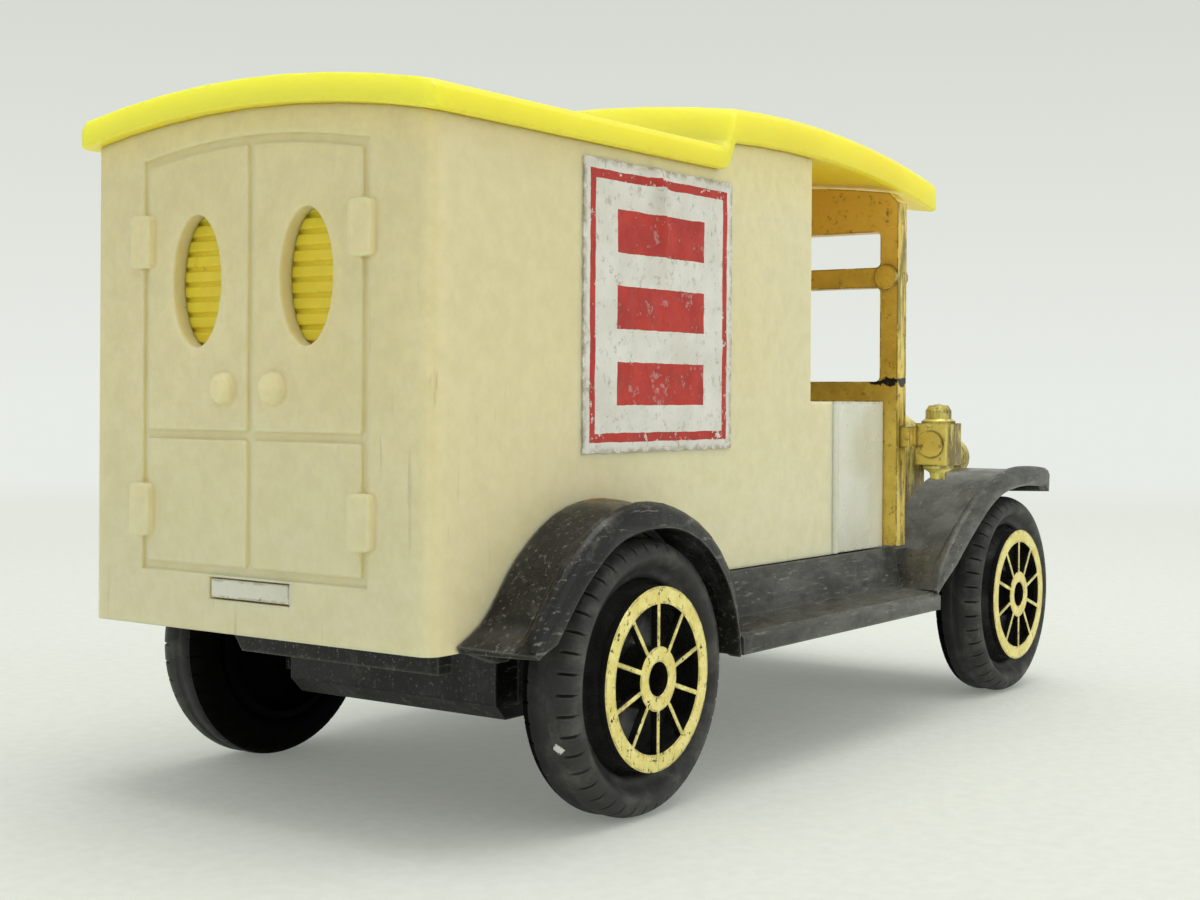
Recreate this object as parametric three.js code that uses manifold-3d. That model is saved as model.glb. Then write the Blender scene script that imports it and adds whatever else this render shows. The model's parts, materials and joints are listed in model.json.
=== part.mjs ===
// Toy delivery van, about 80 mm long, built from its separate mouldings and castings.
// Millimetres. X points forward, Y to the left, Z up, and the wheels stand on Z = 0.
// While the pieces are built, X is counted from the rear face of the van box.

import * as THREE from 'three';
import { mergeVertices } from 'three/addons/utils/BufferGeometryUtils.js';
import Module from 'manifold-3d';

const wasm = await Module();
wasm.setup();

// Clearances between pieces
const SEAT_GAP = 0.1;
const SLIP_GAP = 0.05;
const BEARING_GAP = 0.08;
const TURNED_GAP = 0.3;

// Van box
const BOX_WIDTH = 27.4;
const BOX_LENGTH = 41.9;
const BOX_WALL = 1;
const BOX_CORNER = 0.9;
const CAB_SIDE_LENGTH = 2.7;
const SIDE_SKIRT_Z = 13.3;
const REAR_SKIRT_DROP = 2.3;
const SILL_Z = 24.5;

// Roof
const ROOF_EAVE_Z = 39.6;
const ROOF_SIDE_OVERHANG = 0.8;
const ROOF_REAR_OVERHANG = 0.8;
const ROOF_THICK = 1.55;
const ROOF_SAG = 1.45;
const ROOF_SEAT_GAP = 0.04;
const CAB_ROOF_LAP = 13;
const CAB_ROOF_RISE = 4.5;
const CAB_ROOF_CREST_BACK = 3.4;
const CAB_ROOF_DROP = 2.2;
const CAB_ROOF_THICK = 2.25;
const CAB_ROOF_SAG = 1.1;
const VISOR_REACH = 8.5;
const VISOR_ROUND = 1;
const ROOF_REAR_CORNER = 0.8;
const ROOF_FRONT_CORNER = 1.1;
const ROOF_EDGE = 0.35;
const ROOF_RAMP = 1.3;

// Rear doors, moulded as relief on the van box
const DOOR_SIDE_GAP = 4.8;
const DOOR_TOP_GAP = 1.2;
const DOOR_BOTTOM_GAP = 0.5;
const DOOR_ARCH = 0.85;
const DOOR_MIDDLE_RISE = 7.8;
const GROOVE_WIDTH = 0.55;
const GROOVE_DEPTH = 0.25;
const OVAL_DROP = 7.05;
const OVAL_HALF_WIDTH = 2.1;
const OVAL_HALF_HEIGHT = 3.9;
const HINGE_WIDTH = 1.65;
const HINGE_HEIGHT = 3.1;
const HINGE_RISE = 0.5;
const HINGE_TOP_DROP = 4.6;
const HINGE_BOTTOM_RISE = 3.3;
const KNOB_RADIUS = 0.95;
const KNOB_RISE = 0.75;
const KNOB_Y = 2;
const KNOB_ABOVE_MIDDLE = 2.7;

// Ribbed blind behind the oval windows
const BLIND_THICK = 1;
const BLIND_PITCH = 0.9;
const BLIND_GROOVE = 0.26;
const BLIND_TOP_GAP = 0.4;

// Die-cast body: floor, cowl, bonnet and rear tab
const FLOOR_DROP = 0.3;
const FLOOR_THICK = 1.1;
const TAB_HALF = 3.2;
const COWL_LENGTH = 8.4;
const COWL_WALL = 1.2;
const COWL_BEAD = 0.42;
const FIREWALL_THICK = 1.4;
const BONNET_LENGTH = 17;
const BONNET_REAR_HALF = 9.4;
const BONNET_FRONT_HALF = 7.2;
const BONNET_REAR_DROP = 0.4;
const BONNET_FALL = 1.2;
const BONNET_ROUND = 3.2;
const BONNET_WALL = 1.3;

// Windscreen frame with its side lanterns
const FRAME_OVERHANG = 1.1;
const FRAME_THICK = 1.5;
const FRAME_POST = 1.5;
const FRAME_BAR = 1.55;
const LOWER_PANE = 7.3;
const UPPER_PANE = 2.75;
const FRAME_CORNER = 0.8;
const FRAME_BOSS_RADIUS = 0.95;
const FRAME_BOSS_RISE = 0.3;
const LANTERN_AHEAD = 3.4;
const LANTERN_OUT = 1.9;
const LANTERN_DROP = 4.9;
const LANTERN_DEPTH = 2.8;
const LANTERN_WIDTH = 2.75;
const LANTERN_HEIGHT = 3.25;
const LANTERN_EDGE = 0.25;
const LANTERN_ARM = 1.6;

// Radiator shell and headlamps
const RADIATOR_DEPTH = 3.6;
const RADIATOR_LIP = 0.4;
const RADIATOR_RISE = 0.7;
const RADIATOR_RIM = 1.5;
const RADIATOR_RECESS = 1;
const RADIATOR_RIBS = 9;
const RADIATOR_RIB_RISE = 0.4;
const RADIATOR_CAP_RADIUS = 0.9;
const HEADLAMP_AHEAD = 1.7;
const HEADLAMP_OUT = 1.2;
const HEADLAMP_DROP = 4.1;
const HEADLAMP_RADIUS = 1.7;
const HEADLAMP_LENGTH = 3.9;
const LAMP_BAR = 1;

// Wheels, tyres and axles
const TYRE_RADIUS = 8.22;
const TYRE_INNER_RADIUS = 5.9;
const TYRE_INSET = 0.65;
const TYRE_WIDTH = 4;
const TYRE_SHOULDER = 1.05;
const TYRE_DISH = 0.8;
const TYRE_LIP = 0.45;
const WHEEL_FACE_RADIUS = 5.45;
const WHEEL_FACE_PROUD = 0.35;
const WHEEL_RIM = 0.3;
const SPOKE_COUNT = 10;
const SPOKE_WIDTH = 0.42;
const SPOKE_RING_RADIUS = 4.4;
const HUB_RADIUS = 1.92;
const POCKET_DEPTH = 1.7;
const AXLE_RADIUS = 0.95;
const AXLE_RECESS = 1.8;
const REAR_AXLE_X = 16.1;
const FRONT_AXLE_LEAD = 1.5;
const ROUND_SIDES = 40;

// Wings, running boards and base
const WELL_CLEARANCE = 0.65;
const WELL_LIP = 0.35;
const WING_OVERHANG = 0.65;
const WING_THICK = 0.8;
const WING_TAPER = 0.16;
const WING_WALL = 0.35;
const WING_WALL_DEPTH = 3;
const WING_TIP_DEPTH = 1.95;
const WEB_THICK = 1;
const BOARD_DROP = 3.4;
const BOARD_THICK = 1.35;
const BOARD_SLOPE = 0.3;
const BOARD_EDGE = 0.3;
const VALANCE_SPREAD = 0.7;
const PLATE_THICK = 1.2;
const PLATE_SIDE_GAP = 0.3;
const PLATE_REAR_GAP = 0.3;
const PLATE_LIP_X = 3.3;
const PLATE_LIP_DEPTH = 3.5;
const PLATE_LIP_LEFT = 4;
const PLATE_LIP_RIGHT = 11.4;
const PLATE_LIP_SLANT = 2.6;
const FRONT_HOUSING_HALF = 5.5;
const REAR_HOUSING_HALF = 8.6;
const HOUSING_REACH = 4.3;
const HOUSING_BELOW_AXLE = 2.92;
const HOUSING_EDGE = 1;
const SLEEVE_LENGTH = 2.6;
const SLEEVE_REACH = 2.2;
const SLEEVE_BELOW_AXLE = 1.9;
const KEEL_HALF = 6;
const KEEL_DEPTH = 2.7;

// Paper labels on the van sides
const LABEL_REAR_X = 13.3;
const LABEL_LENGTH = 16.7;
const LABEL_EAVE_GAP = 0.7;
const LABEL_HEIGHT = 17.5;
const LABEL_THICK = 0.12;

// Cab fittings and screws
const SEAT_DEPTH = 6.5;
const SEAT_HALF = 9.5;
const SEAT_HEIGHT = 5.4;
const SEAT_BACK_HEIGHT = 11.5;
const SEAT_BACK_THICK = 1.8;
const STEERING_RADIUS = 2.9;
const STEERING_RIM = 0.42;
const STEERING_Y = 5.2;
const STEERING_LIFT = 3.65;
const STEERING_TILT = 50;
const COLUMN_RADIUS = 0.6;
const COLUMN_LENGTH = 4.4;
const SCREW_RADIUS = 1;
const SCREW_HEAD_RADIUS = 1.9;
const SCREW_HEAD_HEIGHT = 1.1;
const SCREW_SLOT = 0.5;
const SCREW_BITE = 0.9;
const SCREW_BOSS_WALL = 1.2;
const REAR_SCREW_AHEAD = 13.9;
const FRONT_SCREW_BACK = 11.5;

// Wing outlines about an axle: [angle in degrees, outer edge, inner edge] in wheel well radii
const REAR_WING = [
  [167.3, 1.42, 1.63], [162, 1.378, 1.47], [156, 1.335, 1.39], [140, 1.262, 1.325],
  [120, 1.225, 1.27], [100, 1.178, 1.205],
  [80, 1.127, 1.155], [55, 1.112, 1.137], [30, 1.09, 1.107], [3, 1.065, 1.07],
];
const FRONT_WING = [
  [173.9, 1.96, 1.96], [162, 1.699, 1.699], [146, 1.451, 1.451], [128.8, 1.316, 1.316],
  [111, 1.24, 1.22], [90, 1.208, 1.178], [71.8, 1.263, 1.238], [59.3, 1.366, 1.345],
];

// Wing section at its rolled lip: [distance in from the outer edge, rise of the top, depth of the underside]
const WING_SECTION = [
  [0, -0.5, 1.4], [0.14, -0.14, 1.55], [0.45, 0.12, 1.55], [0.8, 0.12, 1.45],
  [1, -0.1, WING_THICK], [1.2, -0.26, WING_THICK], [1.8, -0.14, WING_THICK],
];

// Worked-out places across the van
const boxHalf = BOX_WIDTH / 2;
const insideHalf = boxHalf - BOX_WALL;
const roofHalf = boxHalf + ROOF_SIDE_OVERHANG;
const doorHalf = boxHalf - DOOR_SIDE_GAP;
const frameHalf = boxHalf + FRAME_OVERHANG;
const lanternY = frameHalf + LANTERN_OUT;
const radiatorHalf = BONNET_FRONT_HALF + RADIATOR_LIP;
const headlampY = radiatorHalf + HEADLAMP_OUT;
const tyreInnerY = boxHalf - TYRE_INSET;
const tyreOuterY = tyreInnerY + TYRE_WIDTH;
const wheelFaceY = tyreOuterY + WHEEL_FACE_PROUD;
const axleHalf = wheelFaceY - AXLE_RECESS;
const wingOuterY = tyreOuterY + WING_OVERHANG;
const plateHalf = insideHalf - PLATE_SIDE_GAP;

// Worked-out places along the van
const cabSideEnd = BOX_LENGTH + CAB_SIDE_LENGTH;
const cowlFront = cabSideEnd + COWL_LENGTH;
const frameX = cowlFront + SEAT_GAP;
const lanternX = frameX + LANTERN_AHEAD;
const bonnetFront = cowlFront + BONNET_LENGTH;
const radiatorFront = bonnetFront + SEAT_GAP + RADIATOR_DEPTH;
const headlampX = radiatorFront + HEADLAMP_AHEAD;
const frontAxleX = bonnetFront + FRONT_AXLE_LEAD;
const roofRear = -ROOF_REAR_OVERHANG;
const roofStepX = BOX_LENGTH - CAB_ROOF_LAP;
const roofCrestX = BOX_LENGTH - CAB_ROOF_CREST_BACK;
const roofTipX = cowlFront + VISOR_REACH;
const screwXs = [REAR_AXLE_X + REAR_SCREW_AHEAD, frontAxleX - FRONT_SCREW_BACK];

// Worked-out heights
const axleZ = TYRE_RADIUS;
const wellRadius = TYRE_RADIUS + WELL_CLEARANCE;
const rearSkirtZ = SIDE_SKIRT_Z - REAR_SKIRT_DROP;
const floorZ = SIDE_SKIRT_Z - FLOOR_DROP;
const floorTop = floorZ + FLOOR_THICK;
const plateTop = floorZ - SLIP_GAP;
const plateBottom = plateTop - PLATE_THICK;
const baseTop = plateBottom - SLIP_GAP;
const keelBottom = baseTop - KEEL_DEPTH;
const housingBottom = axleZ - HOUSING_BELOW_AXLE;
const boardTop = SIDE_SKIRT_Z - BOARD_DROP;
const doorBottom = floorTop + DOOR_BOTTOM_GAP;
const doorMiddle = doorBottom + DOOR_MIDDLE_RISE;
const doorShoulder = ROOF_EAVE_Z - DOOR_TOP_GAP;
const doorCrown = doorShoulder + DOOR_ARCH;
const hingeZs = [doorBottom + HINGE_BOTTOM_RISE, doorShoulder - HINGE_TOP_DROP];
const sillBarTop = SILL_Z + FRAME_BAR;
const middleBarZ = sillBarTop + LOWER_PANE;
const headerZ = middleBarZ + FRAME_BAR + UPPER_PANE;
const lanternZ = SILL_Z - LANTERN_DROP;
const bonnetRearZ = SILL_Z - BONNET_REAR_DROP;
const bonnetFrontZ = bonnetRearZ - BONNET_FALL;
const radiatorTop = bonnetFrontZ + RADIATOR_RISE;
const headlampZ = radiatorTop - HEADLAMP_DROP;
const labelBottom = ROOF_EAVE_Z - LABEL_EAVE_GAP - LABEL_HEIGHT;

const FAR = 100;
const SIDES = [['left', 1], ['right', -1]];
const AXLES = [['front', frontAxleX], ['rear', REAR_AXLE_X]];

const cream = new THREE.MeshStandardMaterial({ color: 0xd9d0a6, roughness: 0.45, metalness: 0 });
const yellow = new THREE.MeshStandardMaterial({ color: 0xefe04a, roughness: 0.35, metalness: 0 });
const ochre = new THREE.MeshStandardMaterial({ color: 0xc2a93a, roughness: 0.5, metalness: 0 });
const white = new THREE.MeshStandardMaterial({ color: 0xe9e8e4, roughness: 0.3, metalness: 0 });
const gold = new THREE.MeshStandardMaterial({ color: 0xb5953a, roughness: 0.35, metalness: 0.8 });
const foil = new THREE.MeshStandardMaterial({ color: 0xead98c, roughness: 0.4, metalness: 0.6 });
const black = new THREE.MeshStandardMaterial({ color: 0x2b2b2a, roughness: 0.45, metalness: 0 });
const rubber = new THREE.MeshStandardMaterial({ color: 0x353534, roughness: 0.75, metalness: 0 });
const steel = new THREE.MeshStandardMaterial({ color: 0x9a9a98, roughness: 0.35, metalness: 1 });
const paper = new THREE.MeshStandardMaterial({ color: 0xe4e0d4, roughness: 0.7, metalness: 0 });

// Solids: closed meshes, joined and cut

function weld(geometry) {
  const bare = geometry.index ? geometry.toNonIndexed() : geometry.clone();
  for (const name of Object.keys(bare.attributes)) {
    if (name !== 'position') bare.deleteAttribute(name);
  }
  return mergeVertices(bare, 1e-4);
}

function solid(geometry) {
  const welded = weld(geometry);
  const index = welded.index.array;
  const triangles = [];
  for (let i = 0; i < index.length; i += 3) {
    const [a, b, c] = [index[i], index[i + 1], index[i + 2]];
    if (a !== b && b !== c && c !== a) triangles.push(a, b, c);
  }
  return new wasm.Manifold(new wasm.Mesh({
    numProp: 3,
    vertProperties: new Float32Array(welded.attributes.position.array),
    triVerts: new Uint32Array(triangles),
  }));
}

function join(...solids) {
  return solids.reduce((whole, next) => whole.add(next));
}

function cut(whole, ...tools) {
  return tools.reduce((rest, tool) => rest.subtract(tool), whole);
}

function toGeometry(body) {
  const mesh = body.getMesh();
  const geometry = new THREE.BufferGeometry();
  geometry.setAttribute('position', new THREE.BufferAttribute(mesh.vertProperties, 3));
  geometry.setIndex(new THREE.BufferAttribute(mesh.triVerts, 1));
  geometry.computeVertexNormals();
  return geometry;
}

// Basic forms

function block(x0, x1, y0, y1, z0, z1) {
  const geometry = new THREE.BoxGeometry(x1 - x0, y1 - y0, z1 - z0);
  geometry.translate((x0 + x1) / 2, (y0 + y1) / 2, (z0 + z1) / 2);
  return solid(geometry);
}

function outline(points) {
  return new THREE.Shape(points.map(([u, v]) => new THREE.Vector2(u, v)));
}

function roundedRect(u0, u1, v0, v1, radius) {
  const shape = new THREE.Shape();
  shape.moveTo(u0 + radius, v0);
  shape.lineTo(u1 - radius, v0);
  shape.absarc(u1 - radius, v0 + radius, radius, -Math.PI / 2, 0);
  shape.lineTo(u1, v1 - radius);
  shape.absarc(u1 - radius, v1 - radius, radius, 0, Math.PI / 2);
  shape.lineTo(u0 + radius, v1);
  shape.absarc(u0 + radius, v1 - radius, radius, Math.PI / 2, Math.PI);
  shape.lineTo(u0, v0 + radius);
  shape.absarc(u0 + radius, v0 + radius, radius, Math.PI, 1.5 * Math.PI);
  return shape;
}

function extrude(shape, from, to, curveSegments = 4) {
  const geometry = new THREE.ExtrudeGeometry(shape, { depth: to - from, bevelEnabled: false, curveSegments });
  return geometry.translate(0, 0, from);
}

// A shape drawn in Y and Z, extruded along X
function alongX(shape, x0, x1, curveSegments) {
  const turn = new THREE.Matrix4().makeBasis(
    new THREE.Vector3(0, 1, 0), new THREE.Vector3(0, 0, 1), new THREE.Vector3(1, 0, 0));
  return solid(extrude(shape, x0, x1, curveSegments).applyMatrix4(turn));
}

// A shape drawn in X and Z, extruded along Y
function alongY(shape, y0, y1, curveSegments) {
  return solid(extrude(shape, -y1, -y0, curveSegments).rotateX(Math.PI / 2));
}

// A shape drawn in X and Y, extruded along Z
function alongZ(shape, z0, z1, curveSegments) {
  return solid(extrude(shape, z0, z1, curveSegments));
}

// A profile of [radius, height] points turned about an axis through the given point
function turned(profile, axis, [x, y, z], sides) {
  const geometry = new THREE.LatheGeometry(profile.map(([r, h]) => new THREE.Vector2(r, h)), sides);
  if (axis === 'x') geometry.rotateZ(-Math.PI / 2);
  if (axis === 'z') geometry.rotateX(Math.PI / 2);
  return solid(geometry.translate(x, y, z));
}

function rod(radius, from, to, axis, place, sides) {
  return turned([[0, from], [radius, from], [radius, to], [0, to]], axis, place, sides);
}

// A skin over rings of [y, z] points, each ring at its own x and running anticlockwise seen from the front
function skin(stations) {
  const count = stations[0].ring.length;
  const positions = [];
  const index = [];
  for (const { x, ring } of stations) {
    for (const [y, z] of ring) positions.push(x, y, z);
  }
  for (let i = 0; i < stations.length - 1; i += 1) {
    for (let j = 0; j < count; j += 1) {
      const a = i * count + j;
      const b = i * count + (j + 1) % count;
      index.push(a, b, b + count, a, b + count, a + count);
    }
  }
  const cap = (station, first, flip) => {
    const contour = station.ring.map(([y, z]) => new THREE.Vector2(y, z));
    for (const [a, b, c] of THREE.ShapeUtils.triangulateShape(contour, [])) {
      index.push(first + a, first + (flip ? c : b), first + (flip ? b : c));
    }
  };
  cap(stations[0], 0, true);
  cap(stations[stations.length - 1], (stations.length - 1) * count, false);
  const geometry = new THREE.BufferGeometry();
  geometry.setAttribute('position', new THREE.Float32BufferAttribute(positions, 3));
  geometry.setIndex(index);
  return geometry;
}

function loft(stations) {
  return solid(skin(stations));
}

// The same along Y, over rings of [x, z] points that run anticlockwise with X to the right and Z up
function loftAlongY(stations) {
  const ordered = [...stations].sort((a, b) => a.y - b.y);
  const turnedRings = ordered.map(({ y, ring }) => ({ x: y, ring: ring.map(([x, z]) => [-x, z]).reverse() }));
  return solid(skin(turnedRings).rotateZ(Math.PI / 2));
}

// Two distances from the centre line, as low and high Y on one side of the van
function span(side, near, far) {
  return side > 0 ? [near, far] : [-far, -near];
}

// Roof: heights of its underside, and the skin over it

function steps(from, to, count) {
  return Array.from({ length: count + 1 }, (_, i) => from + (to - from) * i / count);
}

function archDrop(y, sag) {
  return sag * (y / roofHalf) ** 2;
}

function rearUnder(y) {
  return ROOF_EAVE_Z + ROOF_SAG - archDrop(y, ROOF_SAG);
}

function cabUnder(x, y) {
  const run = (x - roofCrestX) / (roofTipX - roofCrestX);
  const edge = ROOF_EAVE_Z + CAB_ROOF_RISE - CAB_ROOF_THICK - CAB_ROOF_DROP * run * run;
  return edge + CAB_ROOF_SAG - archDrop(y, CAB_ROOF_SAG);
}

// Share of the climb from the rear level to the cab level
function rampShare(x) {
  return THREE.MathUtils.smoothstep(x, roofStepX - ROOF_RAMP / 2, roofStepX + ROOF_RAMP / 2);
}

function roofUnder(x, y) {
  return THREE.MathUtils.lerp(rearUnder(y), cabUnder(x, y), rampShare(x));
}

const noseX = roofTipX - ROOF_FRONT_CORNER;
const roofStations = [
  ...steps(roofStepX - ROOF_RAMP / 2, roofStepX + ROOF_RAMP / 2, 4),
  ...steps(roofStepX + ROOF_RAMP / 2, noseX, 8).slice(1),
];

// Half width of the roof where its plan corners are rounded
function roofHalfAt(distance, radius) {
  if (distance >= radius) return roofHalf;
  const short = radius - distance;
  return roofHalf - radius + Math.sqrt(radius * radius - short * short);
}

function acrossRoof(half) {
  return steps(-half + ROOF_EDGE, half - ROOF_EDGE, 8);
}

function roofRing(x) {
  const ahead = roofTipX - x;
  const half = Math.min(roofHalfAt(x - roofRear, ROOF_REAR_CORNER), roofHalfAt(ahead, ROOF_FRONT_CORNER));
  const full = THREE.MathUtils.lerp(ROOF_THICK, CAB_ROOF_THICK, rampShare(x));
  const short = Math.max(VISOR_ROUND - ahead, 0);
  const lift = 0.4 * (VISOR_ROUND - Math.sqrt(VISOR_ROUND ** 2 - short ** 2));
  const low = (y) => roofUnder(x, y) + lift;
  const high = (y) => roofUnder(x, y) + full - 2 * lift;
  const across = acrossRoof(half);
  return [
    ...across.map((y) => [y, low(y)]),
    [half, low(half) + ROOF_EDGE / 2],
    [half, high(half) - ROOF_EDGE],
    ...across.map((y) => [y, high(y)]).reverse(),
    [-half, high(half) - ROOF_EDGE],
    [-half, low(half) + ROOF_EDGE / 2],
  ];
}

function roofPiece() {
  const rearCorner = [0, 0.3, 1].map((share) => roofRear + ROOF_REAR_CORNER * share);
  const frontCorner = [0.4, 0.7, 0.9, 1].map((share) => noseX + ROOF_FRONT_CORNER * share);
  return loft([...rearCorner, ...roofStations, ...frontCorner].map((x) => ({ x, ring: roofRing(x) })));
}

// Everything above the roof's underside, used to trim what stands below it
function aboveRoof() {
  return loft([-FAR, ...roofStations].map((x) => ({
    x,
    ring: [
      ...acrossRoof(roofHalf).map((y) => [y, roofUnder(x, y) - ROOF_SEAT_GAP]),
      [roofHalf, FAR],
      [-roofHalf, FAR],
    ],
  })));
}

// Van box

function ellipse(y, z, halfWidth, halfHeight) {
  const shape = new THREE.Shape();
  shape.absellipse(y, z, halfWidth, halfHeight, 0, 2 * Math.PI);
  return shape;
}

function doorCurve(shift) {
  return steps(-doorHalf, doorHalf, 8).map((y) => [y, doorCrown + shift - DOOR_ARCH * (y / doorHalf) ** 2]);
}

function doorGrooves() {
  const half = GROOVE_WIDTH / 2;
  const upright = (y, top) => block(-FAR, GROOVE_DEPTH, y - half, y + half, doorBottom, top);
  const level = (z) => block(-FAR, GROOVE_DEPTH, -doorHalf - half, doorHalf + half, z - half, z + half);
  const arch = outline([...doorCurve(-half), ...doorCurve(half).reverse()]);
  return join(
    upright(-doorHalf, doorShoulder + half),
    upright(0, doorCrown),
    upright(doorHalf, doorShoulder + half),
    level(doorBottom),
    level(doorMiddle),
    alongX(arch, -FAR, GROOVE_DEPTH),
  );
}

function doorFittings() {
  const root = BOX_WALL / 2;
  const pads = hingeZs.flatMap((z) => SIDES.map(([, side]) => {
    const y = side * doorHalf;
    const [halfWide, halfHigh] = [HINGE_WIDTH / 2, HINGE_HEIGHT / 2];
    const pad = roundedRect(y - halfWide, y + halfWide, z - halfHigh, z + halfHigh, HINGE_WIDTH / 4);
    return alongX(pad, -HINGE_RISE, root, 3);
  }));
  const knobZ = doorMiddle + KNOB_ABOVE_MIDDLE;
  const knobs = SIDES.map(([, side]) => turned([
    [0, -KNOB_RISE],
    [KNOB_RADIUS * 0.55, -KNOB_RISE * 0.93],
    [KNOB_RADIUS * 0.9, -KNOB_RISE * 0.6],
    [KNOB_RADIUS, 0],
    [KNOB_RADIUS, root],
    [0, root],
  ], 'x', [0, side * KNOB_Y, knobZ], 16));
  return join(...pads, ...knobs);
}

function vanBox() {
  const upper = alongZ(roundedRect(0, BOX_LENGTH, -boxHalf, boxHalf, BOX_CORNER), rearSkirtZ, FAR);
  const cabSides = block(BOX_LENGTH / 2, cabSideEnd, -boxHalf, boxHalf, SIDE_SKIRT_Z, SILL_Z);
  const frontWall = BOX_LENGTH - BOX_WALL;
  const inside = block(BOX_WALL, frontWall, -insideHalf, insideHalf, -FAR, FAR);
  const cabInside = block(BOX_LENGTH, FAR, -insideHalf, insideHalf, -FAR, FAR);
  const underSides = block(REAR_AXLE_X, FAR, -FAR, FAR, -FAR, SIDE_SKIRT_Z);
  const overFloor = block(frontWall - BOX_WALL, FAR, -insideHalf, insideHalf, -FAR, floorTop + SEAT_GAP);
  const wheelWell = rod(wellRadius, -FAR, FAR, 'y', [REAR_AXLE_X, 0, axleZ], ROUND_SIDES);
  const shell = cut(join(upper, cabSides), inside, cabInside, underSides, overFloor, wheelWell, aboveRoof());
  const slotHalf = TAB_HALF + SEAT_GAP;
  const slot = block(-FAR, BOX_WALL * 2, -slotHalf, slotHalf, floorZ - SEAT_GAP, floorTop + SEAT_GAP);
  const ovalZ = doorShoulder - OVAL_DROP;
  const ovals = SIDES.map(([, side]) =>
    alongX(ellipse(side * doorHalf / 2, ovalZ, OVAL_HALF_WIDTH, OVAL_HALF_HEIGHT), -FAR, BOX_WALL * 2, 14));
  return join(cut(shell, doorGrooves(), slot, ...ovals), doorFittings());
}

function rearBlind() {
  const x = BOX_WALL + SLIP_GAP;
  const half = insideHalf - SEAT_GAP;
  const bottom = floorTop + SLIP_GAP;
  const top = ROOF_EAVE_Z - BLIND_TOP_GAP;
  const panel = block(x, x + BLIND_THICK, -half, half, bottom, top);
  const rows = Math.floor((top - bottom - BLIND_PITCH) / BLIND_PITCH);
  const grooves = steps(1, rows, rows - 1).map((row) => {
    const z = bottom + row * BLIND_PITCH;
    return block(-FAR, x + BLIND_GROOVE, -FAR, FAR, z - BLIND_GROOVE / 2, z + BLIND_GROOVE / 2);
  });
  return cut(panel, ...grooves);
}

// Die-cast body

// A section with a flat bottom and rounded upper corners, as the bonnet and the radiator have
function bonnetRing(half, top, bottom) {
  const corner = (side, from, to) => steps(from, to, 4).map((angle) => [
    side * (half - BONNET_ROUND + BONNET_ROUND * Math.cos(angle)),
    top - BONNET_ROUND + BONNET_ROUND * Math.sin(angle),
  ]);
  return [
    [-half, bottom],
    [half, bottom],
    ...corner(1, 0, Math.PI / 2),
    ...corner(-1, Math.PI / 2, 0),
  ];
}

function bonnet(inset, rearX, frontX, bottom) {
  return loft([
    { x: rearX, ring: bonnetRing(BONNET_REAR_HALF - inset, bonnetRearZ - inset, bottom) },
    { x: frontX, ring: bonnetRing(BONNET_FRONT_HALF - inset, bonnetFrontZ - inset, bottom) },
  ]);
}

function bodyCasting() {
  const cowlRear = cabSideEnd + SEAT_GAP;
  const firewall = cowlFront - FIREWALL_THICK;
  const floorRear = BOX_WALL + SLIP_GAP;
  const floorHalf = insideHalf - 2 * SEAT_GAP;
  const parts = [
    block(floorRear, cowlFront, -floorHalf, floorHalf, floorZ, floorTop),
    block(SEAT_GAP, floorRear + TAB_HALF, -TAB_HALF, TAB_HALF, floorZ, floorTop),
    block(cowlRear, cowlFront, -boxHalf, boxHalf, SIDE_SKIRT_Z, floorTop),
    block(firewall, cowlFront, -boxHalf, boxHalf, SIDE_SKIRT_Z, SILL_Z),
    cut(
      bonnet(0, firewall, bonnetFront, floorZ),
      bonnet(BONNET_WALL, cowlFront, bonnetFront - BONNET_WALL, -FAR),
    ),
  ];
  for (const [, side] of SIDES) {
    const [y0, y1] = span(side, boxHalf - COWL_WALL, boxHalf);
    parts.push(block(cowlRear, cowlFront, y0, y1, SIDE_SKIRT_Z, SILL_Z));
    const beadPlace = [cowlRear + COWL_BEAD, side * (boxHalf - COWL_BEAD / 2), 0];
    parts.push(rod(COWL_BEAD, SIDE_SKIRT_Z, SILL_Z, 'z', beadPlace, 16));
  }
  const bossRadius = SCREW_RADIUS + SCREW_BOSS_WALL;
  const bossTops = [floorTop + 2 * SCREW_BITE, bonnetFrontZ - BONNET_WALL / 2];
  screwXs.forEach((x, i) => parts.push(rod(bossRadius, floorZ, bossTops[i], 'z', [x, 0, 0], 20)));
  const boreTop = floorTop + SCREW_BITE + SEAT_GAP;
  const bores = screwXs.map((x) => rod(SCREW_RADIUS + BEARING_GAP, -FAR, boreTop, 'z', [x, 0, 0], 20));
  return cut(join(...parts), ...bores);
}

// Windscreen frame

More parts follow.
